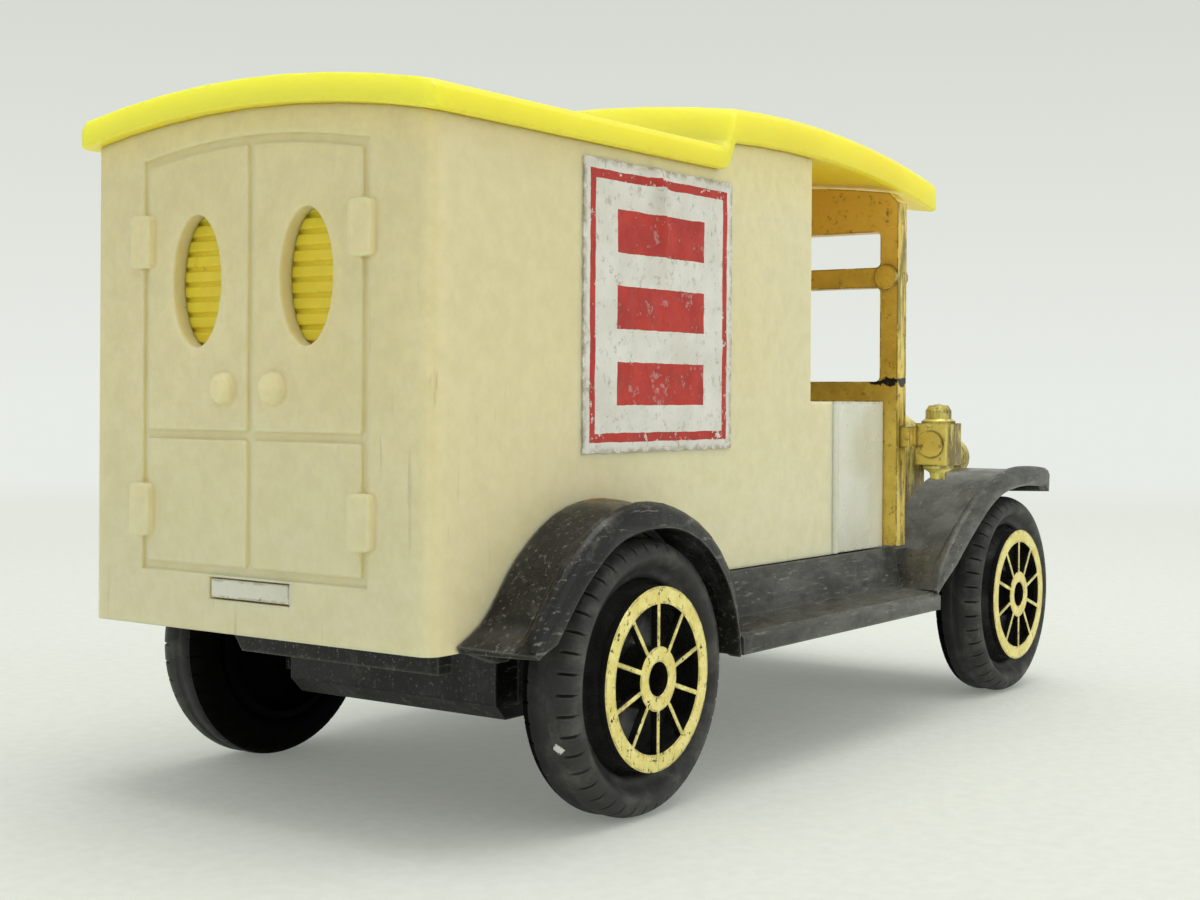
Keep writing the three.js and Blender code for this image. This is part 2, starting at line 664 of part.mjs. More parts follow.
function lantern(side) {
  const y = side * lanternY;
  const place = [lanternX, y, 0];
  const top = lanternZ + LANTERN_HEIGHT;
  const [halfDeep, halfWide] = [LANTERN_DEPTH / 2, LANTERN_WIDTH / 2];
  const [x0, x1] = [lanternX - halfDeep, lanternX + halfDeep];
  const body = alongZ(roundedRect(x0, x1, y - halfWide, y + halfWide, LANTERN_EDGE), lanternZ, top, 2);
  const chimney = turned([
    [0, top - LANTERN_EDGE],
    [halfWide * 0.95, top - LANTERN_EDGE],
    [halfWide * 0.95, top + LANTERN_HEIGHT * 0.05],
    [halfWide * 0.73, top + LANTERN_HEIGHT * 0.11],
    [halfWide * 0.73, top + LANTERN_HEIGHT * 0.3],
    [halfWide * 0.55, top + LANTERN_HEIGHT * 0.42],
    [0, top + LANTERN_HEIGHT * 0.46],
  ], 'z', place, 12);
  const foot = turned([
    [0, lanternZ - LANTERN_HEIGHT * 0.35],
    [halfWide * 0.4, lanternZ - LANTERN_HEIGHT * 0.35],
    [halfWide * 0.5, lanternZ - LANTERN_HEIGHT * 0.18],
    [halfWide * 0.85, lanternZ - LANTERN_HEIGHT * 0.09],
    [halfWide * 0.85, lanternZ + LANTERN_EDGE],
    [0, lanternZ + LANTERN_EDGE],
  ], 'z', place, 12);
  const rise = LANTERN_EDGE * 0.6;
  const disc = rod(halfWide * 0.76, x0 - rise, x1 + rise, 'x', [0, y, lanternZ + LANTERN_HEIGHT / 2], 16);
  const [armY0, armY1] = span(side, frameHalf - FRAME_POST / 2, lanternY - halfWide + LANTERN_EDGE);
  const armTop = top - LANTERN_EDGE;
  const arm = block(frameX + FRAME_THICK / 3, lanternX, armY0, armY1, armTop - LANTERN_ARM, armTop);
  return join(body, chimney, foot, disc, arm);
}

function windscreenFrame() {
  const inner = frameHalf - FRAME_POST;
  const foot = SIDE_SKIRT_Z + SEAT_GAP;
  const frontX = frameX + FRAME_THICK;
  const header = steps(frameHalf - FRAME_CORNER, -frameHalf + FRAME_CORNER, 10)
    .map((y) => [y, cabUnder(frontX, y) - 2 * SEAT_GAP]);
  const shoulder = header[0][1] - FRAME_CORNER;
  const face = outline([
    [frameHalf, foot],
    [frameHalf, shoulder],
    ...header,
    [-frameHalf, shoulder],
    [-frameHalf, foot],
    [-inner, foot],
    [-inner, SILL_Z],
    [inner, SILL_Z],
    [inner, foot],
  ]);
  face.holes.push(
    roundedRect(-inner, inner, sillBarTop, middleBarZ, FRAME_CORNER / 2),
    roundedRect(-inner, inner, middleBarZ + FRAME_BAR, headerZ, FRAME_CORNER / 2),
  );
  const bossY = frameHalf - FRAME_BOSS_RADIUS;
  const bossZ = middleBarZ + FRAME_BAR / 2;
  const [bossRear, bossFront] = [frameX - FRAME_BOSS_RISE, frontX + FRAME_BOSS_RISE];
  const bosses = SIDES.map(([, side]) =>
    rod(FRAME_BOSS_RADIUS, bossRear, bossFront, 'x', [0, side * bossY, bossZ], 18));
  return join(alongX(face, frameX, frontX, 3), ...bosses, ...SIDES.map(([, side]) => lantern(side)));
}

// Radiator shell with headlamps

function radiatorShell() {
  const rearX = bonnetFront + SEAT_GAP;
  const shellRing = bonnetRing(radiatorHalf, radiatorTop, floorZ);
  const shell = loft([rearX, radiatorFront].map((x) => ({ x, ring: shellRing })));
  const faceHalf = radiatorHalf - RADIATOR_RIM;
  const faceTop = radiatorTop - RADIATOR_RIM;
  const recessX = radiatorFront - RADIATOR_RECESS;
  const recessRing = bonnetRing(faceHalf, faceTop, floorZ + RADIATOR_RIM);
  const recess = loft([recessX, FAR].map((x) => ({ x, ring: recessRing })));
  const pitch = 2 * faceHalf / (RADIATOR_RIBS + 1);
  const [ribBottom, ribTop] = [floorZ + SEAT_GAP, faceTop - RADIATOR_RIM];
  const ribs = steps(1, RADIATOR_RIBS, RADIATOR_RIBS - 1).map((row) => {
    const y = row * pitch - faceHalf;
    const half = pitch / 5;
    return block(rearX + SEAT_GAP, recessX + RADIATOR_RIB_RISE, y - half, y + half, ribBottom, ribTop);
  });
  const cap = turned([
    [0, radiatorTop - RADIATOR_CAP_RADIUS],
    [RADIATOR_CAP_RADIUS, radiatorTop - RADIATOR_CAP_RADIUS],
    [RADIATOR_CAP_RADIUS, radiatorTop + RADIATOR_CAP_RADIUS * 0.5],
    [RADIATOR_CAP_RADIUS * 0.6, radiatorTop + RADIATOR_CAP_RADIUS],
    [0, radiatorTop + RADIATOR_CAP_RADIUS],
  ], 'z', [(rearX + radiatorFront) / 2, 0, 0], 14);
  const lamps = SIDES.map(([, side]) => turned([
    [0, -HEADLAMP_LENGTH * 0.5],
    [HEADLAMP_RADIUS * 0.5, -HEADLAMP_LENGTH * 0.46],
    [HEADLAMP_RADIUS * 0.85, -HEADLAMP_LENGTH * 0.25],
    [HEADLAMP_RADIUS, HEADLAMP_LENGTH * 0.2],
    [HEADLAMP_RADIUS, HEADLAMP_LENGTH * 0.4],
    [HEADLAMP_RADIUS * 0.8, HEADLAMP_LENGTH * 0.4],
    [HEADLAMP_RADIUS * 0.5, HEADLAMP_LENGTH * 0.48],
    [0, HEADLAMP_LENGTH * 0.5],
  ], 'x', [headlampX, side * headlampY, headlampZ], 20));
  const half = LAMP_BAR / 2;
  const arms = SIDES.map(([, side]) => {
    const [y0, y1] = span(side, radiatorHalf - LAMP_BAR, headlampY);
    return block(radiatorFront - LAMP_BAR, headlampX, y0, y1, headlampZ - half, headlampZ + half);
  });
  return join(cut(shell, recess), ...ribs, cap, ...lamps, ...arms);
}

// Chassis: wings, running boards and their cross plate

// Points along a wing at a share of its width from the outer edge, each with its way out of the wheel well
function wingPath(points, axleX, share) {
  const curve = new THREE.SplineCurve(points.map(([angle, outer, inner]) => {
    const turn = THREE.MathUtils.degToRad(angle);
    const reach = wellRadius * THREE.MathUtils.lerp(outer, inner, share);
    return new THREE.Vector2(axleX + reach * Math.cos(turn), axleZ + reach * Math.sin(turn));
  }));
  return curve.getPoints(3 * (points.length - 1)).map((point, i, all) => {
    const before = all[Math.max(i - 1, 0)];
    const after = all[Math.min(i + 1, all.length - 1)];
    const along = after.clone().sub(before).normalize();
    return { point, out: new THREE.Vector2(-along.y, along.x) };
  });
}

// A ring along a wing, from a depth under its path to a rise over it, thin at its tail, clear of the well
function wingRing(path, axleX, rise, depth, tipDepth) {
  const centre = new THREE.Vector2(axleX, axleZ);
  const offset = (distanceAt) => path.map(({ point, out }, i) => {
    const moved = point.clone().addScaledVector(out, distanceAt(i / (path.length - 1))).sub(centre);
    return moved.setLength(Math.max(moved.length(), wellRadius)).add(centre).toArray();
  });
  const full = (share) => THREE.MathUtils.smoothstep(share, 0, WING_TAPER);
  const under = (share) => -Math.max(
    THREE.MathUtils.lerp(WING_THICK / 2, depth, full(share)), share < 1 ? 0 : tipDepth);
  const over = (share) => rise * full(share);
  return [...offset(under), ...offset(over).reverse()];
}

// The tip may turn down, and a wall may close the gap between the wing and the wheel at its inner edge
function wing(points, axleX, side, innerY, tipDepth, wall) {
  const width = wingOuterY - innerY;
  const sections = [
    ...WING_SECTION,
    ...(wall ? [[width - wall * 1.3, 0, WING_THICK], [width - wall, 0, WING_WALL_DEPTH]] : []),
    [width, 0, wall ? WING_WALL_DEPTH : WING_THICK],
  ];
  return loftAlongY(sections.map(([inset, rise, depth]) => ({
    y: side * (wingOuterY - inset),
    ring: wingRing(wingPath(points, axleX, inset / width), axleX, rise, depth, tipDepth),
  })));
}

function runningBoard(side) {
  const rear = REAR_AXLE_X + wellRadius + WELL_LIP;
  const front = frontAxleX - wellRadius * FRONT_WING[0][1] + WING_THICK;
  const top = SIDE_SKIRT_Z - SEAT_GAP;
  const bottom = boardTop - BOARD_THICK;
  const section = [
    [insideHalf, top],
    [boxHalf, top],
    [boxHalf + VALANCE_SPREAD, boardTop + BOARD_SLOPE],
    [wingOuterY - BOARD_EDGE, boardTop],
    [wingOuterY, boardTop - BOARD_EDGE],
    [wingOuterY, bottom],
    [insideHalf, bottom],
  ].map(([y, z]) => [side * y, z]);
  return alongX(outline(section), rear, front);
}

function frontWeb(side) {
  const [y0, y1] = span(side, plateHalf - WEB_THICK, plateHalf);
  const top = axleZ + wellRadius * 1.1;
  const shape = outline([
    [frontAxleX - wellRadius, plateBottom],
    [frontAxleX + wellRadius * 0.6, plateBottom],
    [frontAxleX + wellRadius * 0.6, top],
    [frontAxleX - wellRadius * 0.45, top],
    [frontAxleX - wellRadius, top - wellRadius * 0.35],
  ]);
  return alongY(shape, y0, y1);
}

function chassis() {
  const plateRear = BOX_WALL + PLATE_REAR_GAP;
  const plateFront = frontAxleX + wellRadius * 0.6;
  const tieRear = REAR_AXLE_X + wellRadius + WELL_LIP;
  const tieFront = frontAxleX - wellRadius - WELL_LIP;
  const rearLip = outline([
    [-PLATE_LIP_RIGHT, plateTop],
    [-PLATE_LIP_RIGHT, plateTop - PLATE_LIP_DEPTH],
    [PLATE_LIP_LEFT, plateTop - PLATE_LIP_DEPTH],
    [PLATE_LIP_LEFT + PLATE_LIP_SLANT, plateTop],
  ]);
  const parts = [
    block(plateRear, plateFront, -plateHalf, plateHalf, plateBottom, plateTop),
    alongX(rearLip, PLATE_LIP_X, PLATE_LIP_X + PLATE_THICK),
  ];
  for (const [, side] of SIDES) {
    parts.push(wing(REAR_WING, REAR_AXLE_X, side, boxHalf + SEAT_GAP, 0, WING_WALL));
    parts.push(wing(FRONT_WING, frontAxleX, side, plateHalf - WEB_THICK, WING_TIP_DEPTH, 0));
    parts.push(runningBoard(side));
    parts.push(frontWeb(side));
    const [y0, y1] = span(side, plateHalf - WEB_THICK, boxHalf);
    parts.push(block(tieRear, tieFront, y0, y1, plateBottom, plateTop));
  }
  const holes = screwXs.map((x) => rod(SCREW_RADIUS + BEARING_GAP, -FAR, FAR, 'z', [x, 0, 0], 20));
  return cut(join(...parts), ...holes);
}

// Base plate with the axle housings, open at the top so that the axles drop in
function basePlate() {
  const edge = HOUSING_EDGE;
  const housing = (x, half) => alongY(outline([
    [x - HOUSING_REACH, baseTop],
    [x - HOUSING_REACH, housingBottom + edge],
    [x - HOUSING_REACH + edge, housingBottom],
    [x + HOUSING_REACH - edge, housingBottom],
    [x + HOUSING_REACH, housingBottom + edge],
    [x + HOUSING_REACH, baseTop],
  ]), -half, half);
  const sleeveHalf = REAR_HOUSING_HALF + SLEEVE_LENGTH;
  const sleeveBottom = axleZ - SLEEVE_BELOW_AXLE;
  const [sleeveRear, sleeveFront] = [REAR_AXLE_X - SLEEVE_REACH, REAR_AXLE_X + SLEEVE_REACH];
  const housings = [
    housing(frontAxleX, FRONT_HOUSING_HALF),
    housing(REAR_AXLE_X, REAR_HOUSING_HALF),
    block(sleeveRear, sleeveFront, -sleeveHalf, sleeveHalf, sleeveBottom, baseTop),
  ];
  const keel = block(REAR_AXLE_X, frontAxleX, -KEEL_HALF, KEEL_HALF, keelBottom, baseTop);
  const bore = AXLE_RADIUS + BEARING_GAP;
  const slots = AXLES.map(([, x]) => join(
    rod(bore, -FAR, FAR, 'y', [x, 0, axleZ], 24),
    block(x - bore, x + bore, -FAR, FAR, axleZ, FAR),
  ));
  const headTop = keelBottom + SCREW_HEAD_HEIGHT;
  const screwHoles = screwXs.map((x) => join(
    rod(SCREW_RADIUS + BEARING_GAP, -FAR, FAR, 'z', [x, 0, 0], 20),
    rod(SCREW_HEAD_RADIUS + BEARING_GAP, -FAR, headTop, 'z', [x, 0, 0], 20),
  ));
  return cut(join(...housings, keel), ...slots, ...screwHoles);
}

// Running gear, drawn about its own axle

// A closed ring profile on the left side, turned about the axle and mirrored for the right side
function mirroredRing(profile, side) {
  const points = profile.map(([r, y]) => [r, side * y]);
  if (side < 0) points.reverse();
  return turned([...points, points[0]], 'y', [0, 0, 0], ROUND_SIDES);
}

function tyre(side) {
  const shoulder = TYRE_SHOULDER;
  return mirroredRing([
    [TYRE_INNER_RADIUS, tyreInnerY + TYRE_LIP],
    [TYRE_INNER_RADIUS + TYRE_LIP, tyreInnerY],
    [TYRE_RADIUS - shoulder, tyreInnerY],
    [TYRE_RADIUS - shoulder * 0.3, tyreInnerY + shoulder * 0.3],
    [TYRE_RADIUS, tyreInnerY + shoulder],
    [TYRE_RADIUS, tyreOuterY - shoulder],
    [TYRE_RADIUS - shoulder * 0.3, tyreOuterY - shoulder * 0.3],
    [TYRE_RADIUS - shoulder, tyreOuterY],
    [TYRE_INNER_RADIUS + TYRE_LIP, tyreOuterY - TYRE_DISH],
    [TYRE_INNER_RADIUS, tyreOuterY - TYRE_DISH - TYRE_LIP / 2],
  ], side);
}

function spokePocket(index) {
  const pitch = 2 * Math.PI / SPOKE_COUNT;
  const centre = index * pitch;
  const arc = (radius, direction) => {
    const half = pitch / 2 - Math.asin(SPOKE_WIDTH / 2 / radius);
    return steps(-half, half, 4).map((turn) => {
      const angle = centre + direction * turn;
      return [radius * Math.cos(angle), radius * Math.sin(angle)];
    });
  };
  return outline([...arc(HUB_RADIUS, -1), ...arc(SPOKE_RING_RADIUS, 1)]);
}

function wheel(side) {
  const bore = AXLE_RADIUS + SLIP_GAP;
  const barrel = TYRE_INNER_RADIUS - SLIP_GAP;
  const body = mirroredRing([
    [bore, tyreInnerY],
    [barrel, tyreInnerY + WHEEL_RIM],
    [barrel, tyreOuterY - TYRE_DISH],
    [WHEEL_FACE_RADIUS, wheelFaceY - WHEEL_RIM],
    [WHEEL_FACE_RADIUS, wheelFaceY],
    [bore, wheelFaceY],
  ], side);
  const [y0, y1] = span(side, wheelFaceY - POCKET_DEPTH, FAR);
  const pockets = steps(0, SPOKE_COUNT - 1, SPOKE_COUNT - 1).map((i) => alongY(spokePocket(i), y0, y1));
  return cut(body, ...pockets);
}

function axle() {
  return rod(AXLE_RADIUS, -axleHalf, axleHalf, 'y', [0, 0, 0], ROUND_SIDES);
}

// Labels, cab fittings and screws

function label(side) {
  const [y0, y1] = span(side, boxHalf, boxHalf + LABEL_THICK);
  return block(LABEL_REAR_X, LABEL_REAR_X + LABEL_LENGTH, y0, y1, labelBottom, labelBottom + LABEL_HEIGHT);
}

function benchSeat() {
  const rear = BOX_LENGTH + SEAT_GAP;
  const bottom = floorTop + SLIP_GAP;
  const round = SEAT_BACK_THICK / 3;
  const cushion = roundedRect(rear, rear + SEAT_DEPTH, bottom, bottom + SEAT_HEIGHT, round);
  const back = roundedRect(rear, rear + SEAT_BACK_THICK, bottom, bottom + SEAT_BACK_HEIGHT, round);
  return join(alongY(cushion, -SEAT_HALF, SEAT_HALF), alongY(back, -SEAT_HALF, SEAT_HALF));
}

// Steering wheel on its column, drawn about the column's axis with the rim at height 0
function steeringWheel() {
  const rim = solid(new THREE.TorusGeometry(STEERING_RADIUS, STEERING_RIM, 6, 20));
  const column = rod(COLUMN_RADIUS, -COLUMN_LENGTH, STEERING_RIM, 'z', [0, 0, 0], 12);
  const half = STEERING_RIM * 0.7;
  const spokes = [
    block(-STEERING_RADIUS, STEERING_RADIUS, -half, half, -half, half),
    block(-half, half, -STEERING_RADIUS, STEERING_RADIUS, -half, half),
  ];
  return join(rim, column, ...spokes);
}

function baseScrew() {
  const top = floorTop + SCREW_BITE;
  const seat = keelBottom + SCREW_HEAD_HEIGHT;
  const body = turned([
    [0, keelBottom],
    [SCREW_HEAD_RADIUS, keelBottom],
    [SCREW_HEAD_RADIUS, seat],
    [SCREW_RADIUS, seat],
    [SCREW_RADIUS, top],
    [0, top],
  ], 'z', [0, 0, 0], 20);
  return cut(body, block(-FAR, FAR, -SCREW_SLOT / 2, SCREW_SLOT / 2, -FAR, keelBottom + SCREW_SLOT));
}

// Assembly

const truck = new THREE.Group();
truck.position.x = -(roofRear + frontAxleX + TYRE_RADIUS) / 2;

function add(name, body, material, parent = truck) {
  const mesh = new THREE.Mesh(toGeometry(body), material);
  mesh.name = name;
  parent.add(mesh);
  return mesh;
}

add('van_box', vanBox(), cream);
add('roof', roofPiece(), yellow);
add('rear_blind', rearBlind(), ochre);
add('body_casting', bodyCasting(), white);
add('windscreen_frame', windscreenFrame(), gold);
add('radiator_shell', radiatorShell(), gold);
add('chassis', chassis(), black);
add('base_plate', basePlate(), black);
add('bench_seat', benchSeat(), black);

const tilt = THREE.MathUtils.degToRad(STEERING_TILT);
const columnReach = COLUMN_LENGTH * Math.sin(tilt) + COLUMN_RADIUS * Math.cos(tilt) + TURNED_GAP;
const steering = new THREE.Group();
const steeringZ = floorTop + SEAT_HEIGHT + STEERING_LIFT;
steering.position.set(cowlFront - FIREWALL_THICK - columnReach, STEERING_Y, steeringZ);
steering.rotation.y = -tilt;
truck.add(steering);
add('steering_wheel', steeringWheel(), black, steering);

for (const [name, x] of AXLES) {
  const running = new THREE.Group();
  running.position.set(x, 0, axleZ);
  truck.add(running);
  add(`${name}_axle`, axle(), steel, running);
  for (const [sideName, side] of SIDES) {
    add(`wheel_${name}_${sideName}`, wheel(side), foil, running);
    add(`tyre_${name}_${sideName}`, tyre(side), rubber, running);
  }
}

for (const [sideName, side] of SIDES) add(`label_${sideName}`, label(side), paper);

screwXs.forEach((x, i) => {
  const screw = add(`base_screw_${['rear', 'front'][i]}`, baseScrew(), steel);
  screw.position.x = x;
});

export default truck;
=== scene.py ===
import json
from math import cos, exp, pi, radians, sin
import bmesh
import bpy
from mathutils import Matrix, Vector, noise


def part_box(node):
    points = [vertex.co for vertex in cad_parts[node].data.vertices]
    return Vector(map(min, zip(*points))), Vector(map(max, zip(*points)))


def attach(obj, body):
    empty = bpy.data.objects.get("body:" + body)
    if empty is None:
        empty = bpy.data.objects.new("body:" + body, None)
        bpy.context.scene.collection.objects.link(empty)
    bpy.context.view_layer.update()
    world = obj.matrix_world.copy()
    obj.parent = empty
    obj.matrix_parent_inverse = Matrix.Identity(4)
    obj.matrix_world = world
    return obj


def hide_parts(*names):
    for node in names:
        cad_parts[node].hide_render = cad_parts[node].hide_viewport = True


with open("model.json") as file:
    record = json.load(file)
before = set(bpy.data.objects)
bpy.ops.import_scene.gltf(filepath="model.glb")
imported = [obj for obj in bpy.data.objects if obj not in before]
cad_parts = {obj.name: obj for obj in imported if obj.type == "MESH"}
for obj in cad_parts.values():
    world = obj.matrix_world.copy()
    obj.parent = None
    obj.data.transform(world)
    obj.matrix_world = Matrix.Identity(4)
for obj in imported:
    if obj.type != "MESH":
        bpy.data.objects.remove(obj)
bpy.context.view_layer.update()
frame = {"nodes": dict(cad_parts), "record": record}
NODES = frame["nodes"]
SCENE = bpy.context.scene
MM = 0.001

# Places are in millimetres: forward, left and up, with the frame's own zero.
# Those written with ORIGIN_X count forward from the rear face of the box; the door relief stands behind it.
DOOR_RELIEF = 0.75
ORIGIN_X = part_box("van_box")[0].x / MM + DOOR_RELIEF
LANTERN_REAR = 54.8 + ORIGIN_X
LANTERN_TOP = 23.0
BOARD_MIDDLE = 42.0 + ORIGIN_X
CORNER_MARKS = (-39.0, -13.7, 23.0)
CRACK = (53.5 + ORIGIN_X, -13.9, 26.05)
SCUFF = (8.5 + ORIGIN_X, -15.75, 5.1)
WING_STAIN = (15.2 + ORIGIN_X, -13.8, 18.4)


def srgb(red, green, blue):
    """A colour written as 0 to 255 display values, as linear values."""
    return tuple(
        v / 12.92 if v <= 0.04045 else ((v + 0.055) / 1.055) ** 2.4
        for v in (red / 255, green / 255, blue / 255)
    )


def held(value):
    """A value kept between 0 and 1."""
    return max(0.0, min(1.0, value))


# Material building


class Look:
    """A material made of nodes, with its coordinates in millimetres on the piece itself."""

    def __init__(self, name, **shader):
        self.material = bpy.data.materials.new(name)
        self.material.use_nodes = True
        self.tree = self.material.node_tree
        self.shader = self.tree.nodes["Principled BSDF"]
        for socket, value in shader.items():
            self.shader.inputs[socket.replace("_", " ")].default_value = value
        coords = self.tree.nodes.new("ShaderNodeTexCoord")
        scale = self.node("ShaderNodeVectorMath", operation="SCALE")
        self.link(coords.outputs["Object"], scale.inputs[0])
        scale.inputs["Scale"].default_value = 1 / MM
        self.place = scale.outputs[0]
        split = self.node("ShaderNodeSeparateXYZ")
        self.link(self.place, split.inputs[0])
        self.x, self.y, self.z = split.outputs

    def node(self, kind, **settings):
        made = self.tree.nodes.new(kind)
        for name, value in settings.items():
            setattr(made, name, value)
        return made

    def link(self, source, target):
        self.tree.links.new(source, target)

    def feed(self, target, value):
        """Links a socket, or sets a plain number or colour."""
        if isinstance(value, bpy.types.NodeSocket):
            self.link(value, target)
        elif isinstance(value, tuple) and len(value) == 3 and target.type == "RGBA":
            target.default_value = (*value, 1)
        else:
            target.default_value = value

    def math(self, operation, a, b=0.0, clamp=False):
        made = self.node("ShaderNodeMath", operation=operation, use_clamp=clamp)
        self.feed(made.inputs[0], a)
        self.feed(made.inputs[1], b)
        return made.outputs[0]

    def fit(self, value, low, high, to_low=0.0, to_high=1.0):
        """A value taken from one range to another, with soft ends."""
        made = self.node("ShaderNodeMapRange", interpolation_type="SMOOTHSTEP")
        for socket, number in zip(made.inputs, (value, low, high, to_low, to_high)):
            self.feed(socket, number)
        return made.outputs[0]

    def mix(self, share, a, b):
        made = self.node("ShaderNodeMix", data_type="RGBA")
        colours = [s for s in made.inputs if s.type == "RGBA"]
        self.feed(made.inputs["Factor"], share)
        self.feed(colours[0], a)
        self.feed(colours[1], b)
        return next(s for s in made.outputs if s.type == "RGBA")

    def stretched(self, x, y, z):
        made = self.node("ShaderNodeVectorMath", operation="MULTIPLY")
        self.link(self.place, made.inputs[0])
        made.inputs[1].default_value = (x, y, z)
        return made.outputs[0]

    def noise(self, scale, detail=3.0, roughness=0.55, place=None):
        made = self.node("ShaderNodeTexNoise")
        self.link(place or self.place, made.inputs["Vector"])
        made.inputs["Scale"].default_value = scale
        made.inputs["Detail"].default_value = detail
        made.inputs["Roughness"].default_value = roughness
        return made.outputs[0]

    def specks(self, per_mm, radius, share):
        """Small round marks: one cell in so many carries one."""
        made = self.node("ShaderNodeTexVoronoi")
        self.link(self.place, made.inputs["Vector"])
        made.inputs["Scale"].default_value = per_mm
        colour = self.node("ShaderNodeSeparateColor")
        self.link(made.outputs["Color"], colour.inputs[0])
        size = self.math("MULTIPLY", colour.outputs[1], radius * per_mm)
        inside = self.math("LESS_THAN", made.outputs["Distance"], size)
        return self.math("MULTIPLY", inside, self.math("LESS_THAN", colour.outputs[0], share))

    def edge(self, radius):
        """1 along sharp edges, 0 on open faces."""
        bevel = self.node("ShaderNodeBevel", samples=6)
        bevel.inputs["Radius"].default_value = radius * MM
        plain = self.node("ShaderNodeNewGeometry")
        dot = self.node("ShaderNodeVectorMath", operation="DOT_PRODUCT")
        self.link(bevel.outputs[0], dot.inputs[0])
        self.link(plain.outputs["Normal"], dot.inputs[1])
        return self.fit(dot.outputs["Value"], 0.99, 0.85)

    def crease(self, distance, local=True):
        """1 in corners and grooves, 0 on open faces."""
        made = self.node("ShaderNodeAmbientOcclusion", samples=8, only_local=local)
        made.inputs["Distance"].default_value = distance * MM
        return self.math("SUBTRACT", 1.0, made.outputs["AO"], clamp=True)

    def facing(self):
        """How far the surface faces forward, left and up, each from -1 to 1."""
        plain = self.node("ShaderNodeNewGeometry")
        split = self.node("ShaderNodeSeparateXYZ")
        self.link(plain.outputs["Normal"], split.inputs[0])
        return split.outputs

    def up(self):
        return self.facing()[2]

    def sideways(self):
        return self.math("ABSOLUTE", self.facing()[1])

    def near(self, point, radius):
        """1 at a point in millimetres, falling to 0 at the radius."""
        made = self.node("ShaderNodeVectorMath", operation="DISTANCE")
        self.link(self.place, made.inputs[0])
        made.inputs[1].default_value = point
        return self.fit(made.outputs["Value"], radius, 0.0)

    def seen(self):
        """1 for what the camera, a reflection or glass shows, 0 for the light that falls on the van."""
        paths = self.node("ShaderNodeLightPath")
        either = self.math("MAXIMUM", paths.outputs["Is Camera Ray"], paths.outputs["Is Glossy Ray"])
        return self.math("MAXIMUM", either, paths.outputs["Is Transmission Ray"])

    def colour(self, value):
        self.feed(self.shader.inputs["Base Color"], value)

    def roughness(self, value):
        self.feed(self.shader.inputs["Roughness"], value)

    def bump(self, *heights, soft=0.0):
        """Heights are (value, distance in millimetres) pairs, laid one on another over softened edges."""
        last = None
        if soft:
            bevel = self.node("ShaderNodeBevel", samples=8)
            bevel.inputs["Radius"].default_value = soft * MM
            last = bevel.outputs[0]
        for value, distance in heights:
            made = self.node("ShaderNodeBump")
            made.inputs["Distance"].default_value = distance * MM
            self.link(value, made.inputs["Height"])
            if last:
                self.link(last, made.inputs["Normal"])
            last = made.outputs[0]
        self.link(last, self.shader.inputs["Normal"])


def cream_plastic():
    look = Look("cream_plastic", Subsurface_Weight=0.75, Subsurface_Scale=0.0014, IOR=1.48)
    look.shader.inputs["Subsurface Radius"].default_value = (1.0, 0.8, 0.4)
    cloud = look.fit(look.noise(0.07, 3), 0.35, 0.65)
    body = look.mix(cloud, srgb(234, 223, 178), srgb(228, 216, 168))
    # Darker and greyer towards the bottom: painted shade.
    low = look.fit(look.z, 30.0, 10.0)
    body = look.mix(look.math("MULTIPLY", low, 0.75), body, srgb(224, 221, 188))
    ahead = look.fit(look.x, -22.0, 6.0)
    body = look.mix(look.math("MULTIPLY", ahead, 0.5), body, srgb(228, 222, 188))
    # Warmer and lighter near the roof: painted light from the yellow roof.
    eave_glow = look.fit(look.z, 36.5, 40.5)
    body = look.mix(look.math("MULTIPLY", eave_glow, 0.6), body, srgb(240, 224, 158))
    # Side-facing faces towards the rear darker: painted shade by facing.
    flank = look.fit(look.sideways(), 0.5, 0.9)
    flank = look.math("MULTIPLY", flank, look.fit(look.x, -12.0, -34.0, 0.0, 0.7))
    body = look.mix(flank, body, srgb(224, 211, 166))
    mottle = look.fit(look.noise(0.9, 5, 0.7), 0.3, 0.7, 0.0, 0.36)
    body = look.mix(mottle, body, srgb(206, 196, 146))
    # Lighter along edges: painted highlight.
    body = look.mix(look.math("MULTIPLY", look.edge(0.35), 0.2), body, srgb(238, 232, 196))
    # Lighter in grooves and corners: painted light.
    groove = look.crease(0.6)
    body = look.mix(look.math("MULTIPLY", groove, 0.9), body, srgb(254, 240, 188))
    # Darker in grooves: grime and painted shade.
    crease_grime_and_shade = look.math("MULTIPLY", groove, look.fit(look.noise(0.5, 4), 0.4, 0.8))
    body = look.mix(look.math("MULTIPLY", crease_grime_and_shade, 0.3), body, srgb(184, 164, 106))
    strokes = look.fit(look.noise(1.0, 4, place=look.stretched(1.6, 1.6, 0.16)), 0.62, 0.78)
    corner = look.near(CORNER_MARKS, 11.0)
    foot = look.fit(look.z, 16.0, 11.0)
    where = look.math("MAXIMUM", look.math("MULTIPLY", corner, 0.8), look.math("MULTIPLY", foot, 0.35))
    body = look.mix(look.math("MULTIPLY", strokes, where), body, srgb(150, 134, 92))
    smudge = look.fit(look.noise(0.22, 5, 0.65), 0.6, 0.8)
    body = look.mix(look.math("MULTIPLY", smudge, 0.16), body, srgb(168, 150, 104))
    spots = look.math("MAXIMUM", look.specks(0.3, 0.17, 0.13), look.specks(0.62, 0.08, 0.12))
    body = look.mix(look.math("MULTIPLY", spots, 0.75), body, srgb(96, 80, 48))
    look.colour(body)
    look.roughness(look.fit(look.noise(0.4, 4), 0.2, 0.8, 0.36, 0.52))
    look.bump((look.noise(0.16, 2), 0.05), (look.noise(2.4, 3), 0.012), soft=0.35)
    return look.material


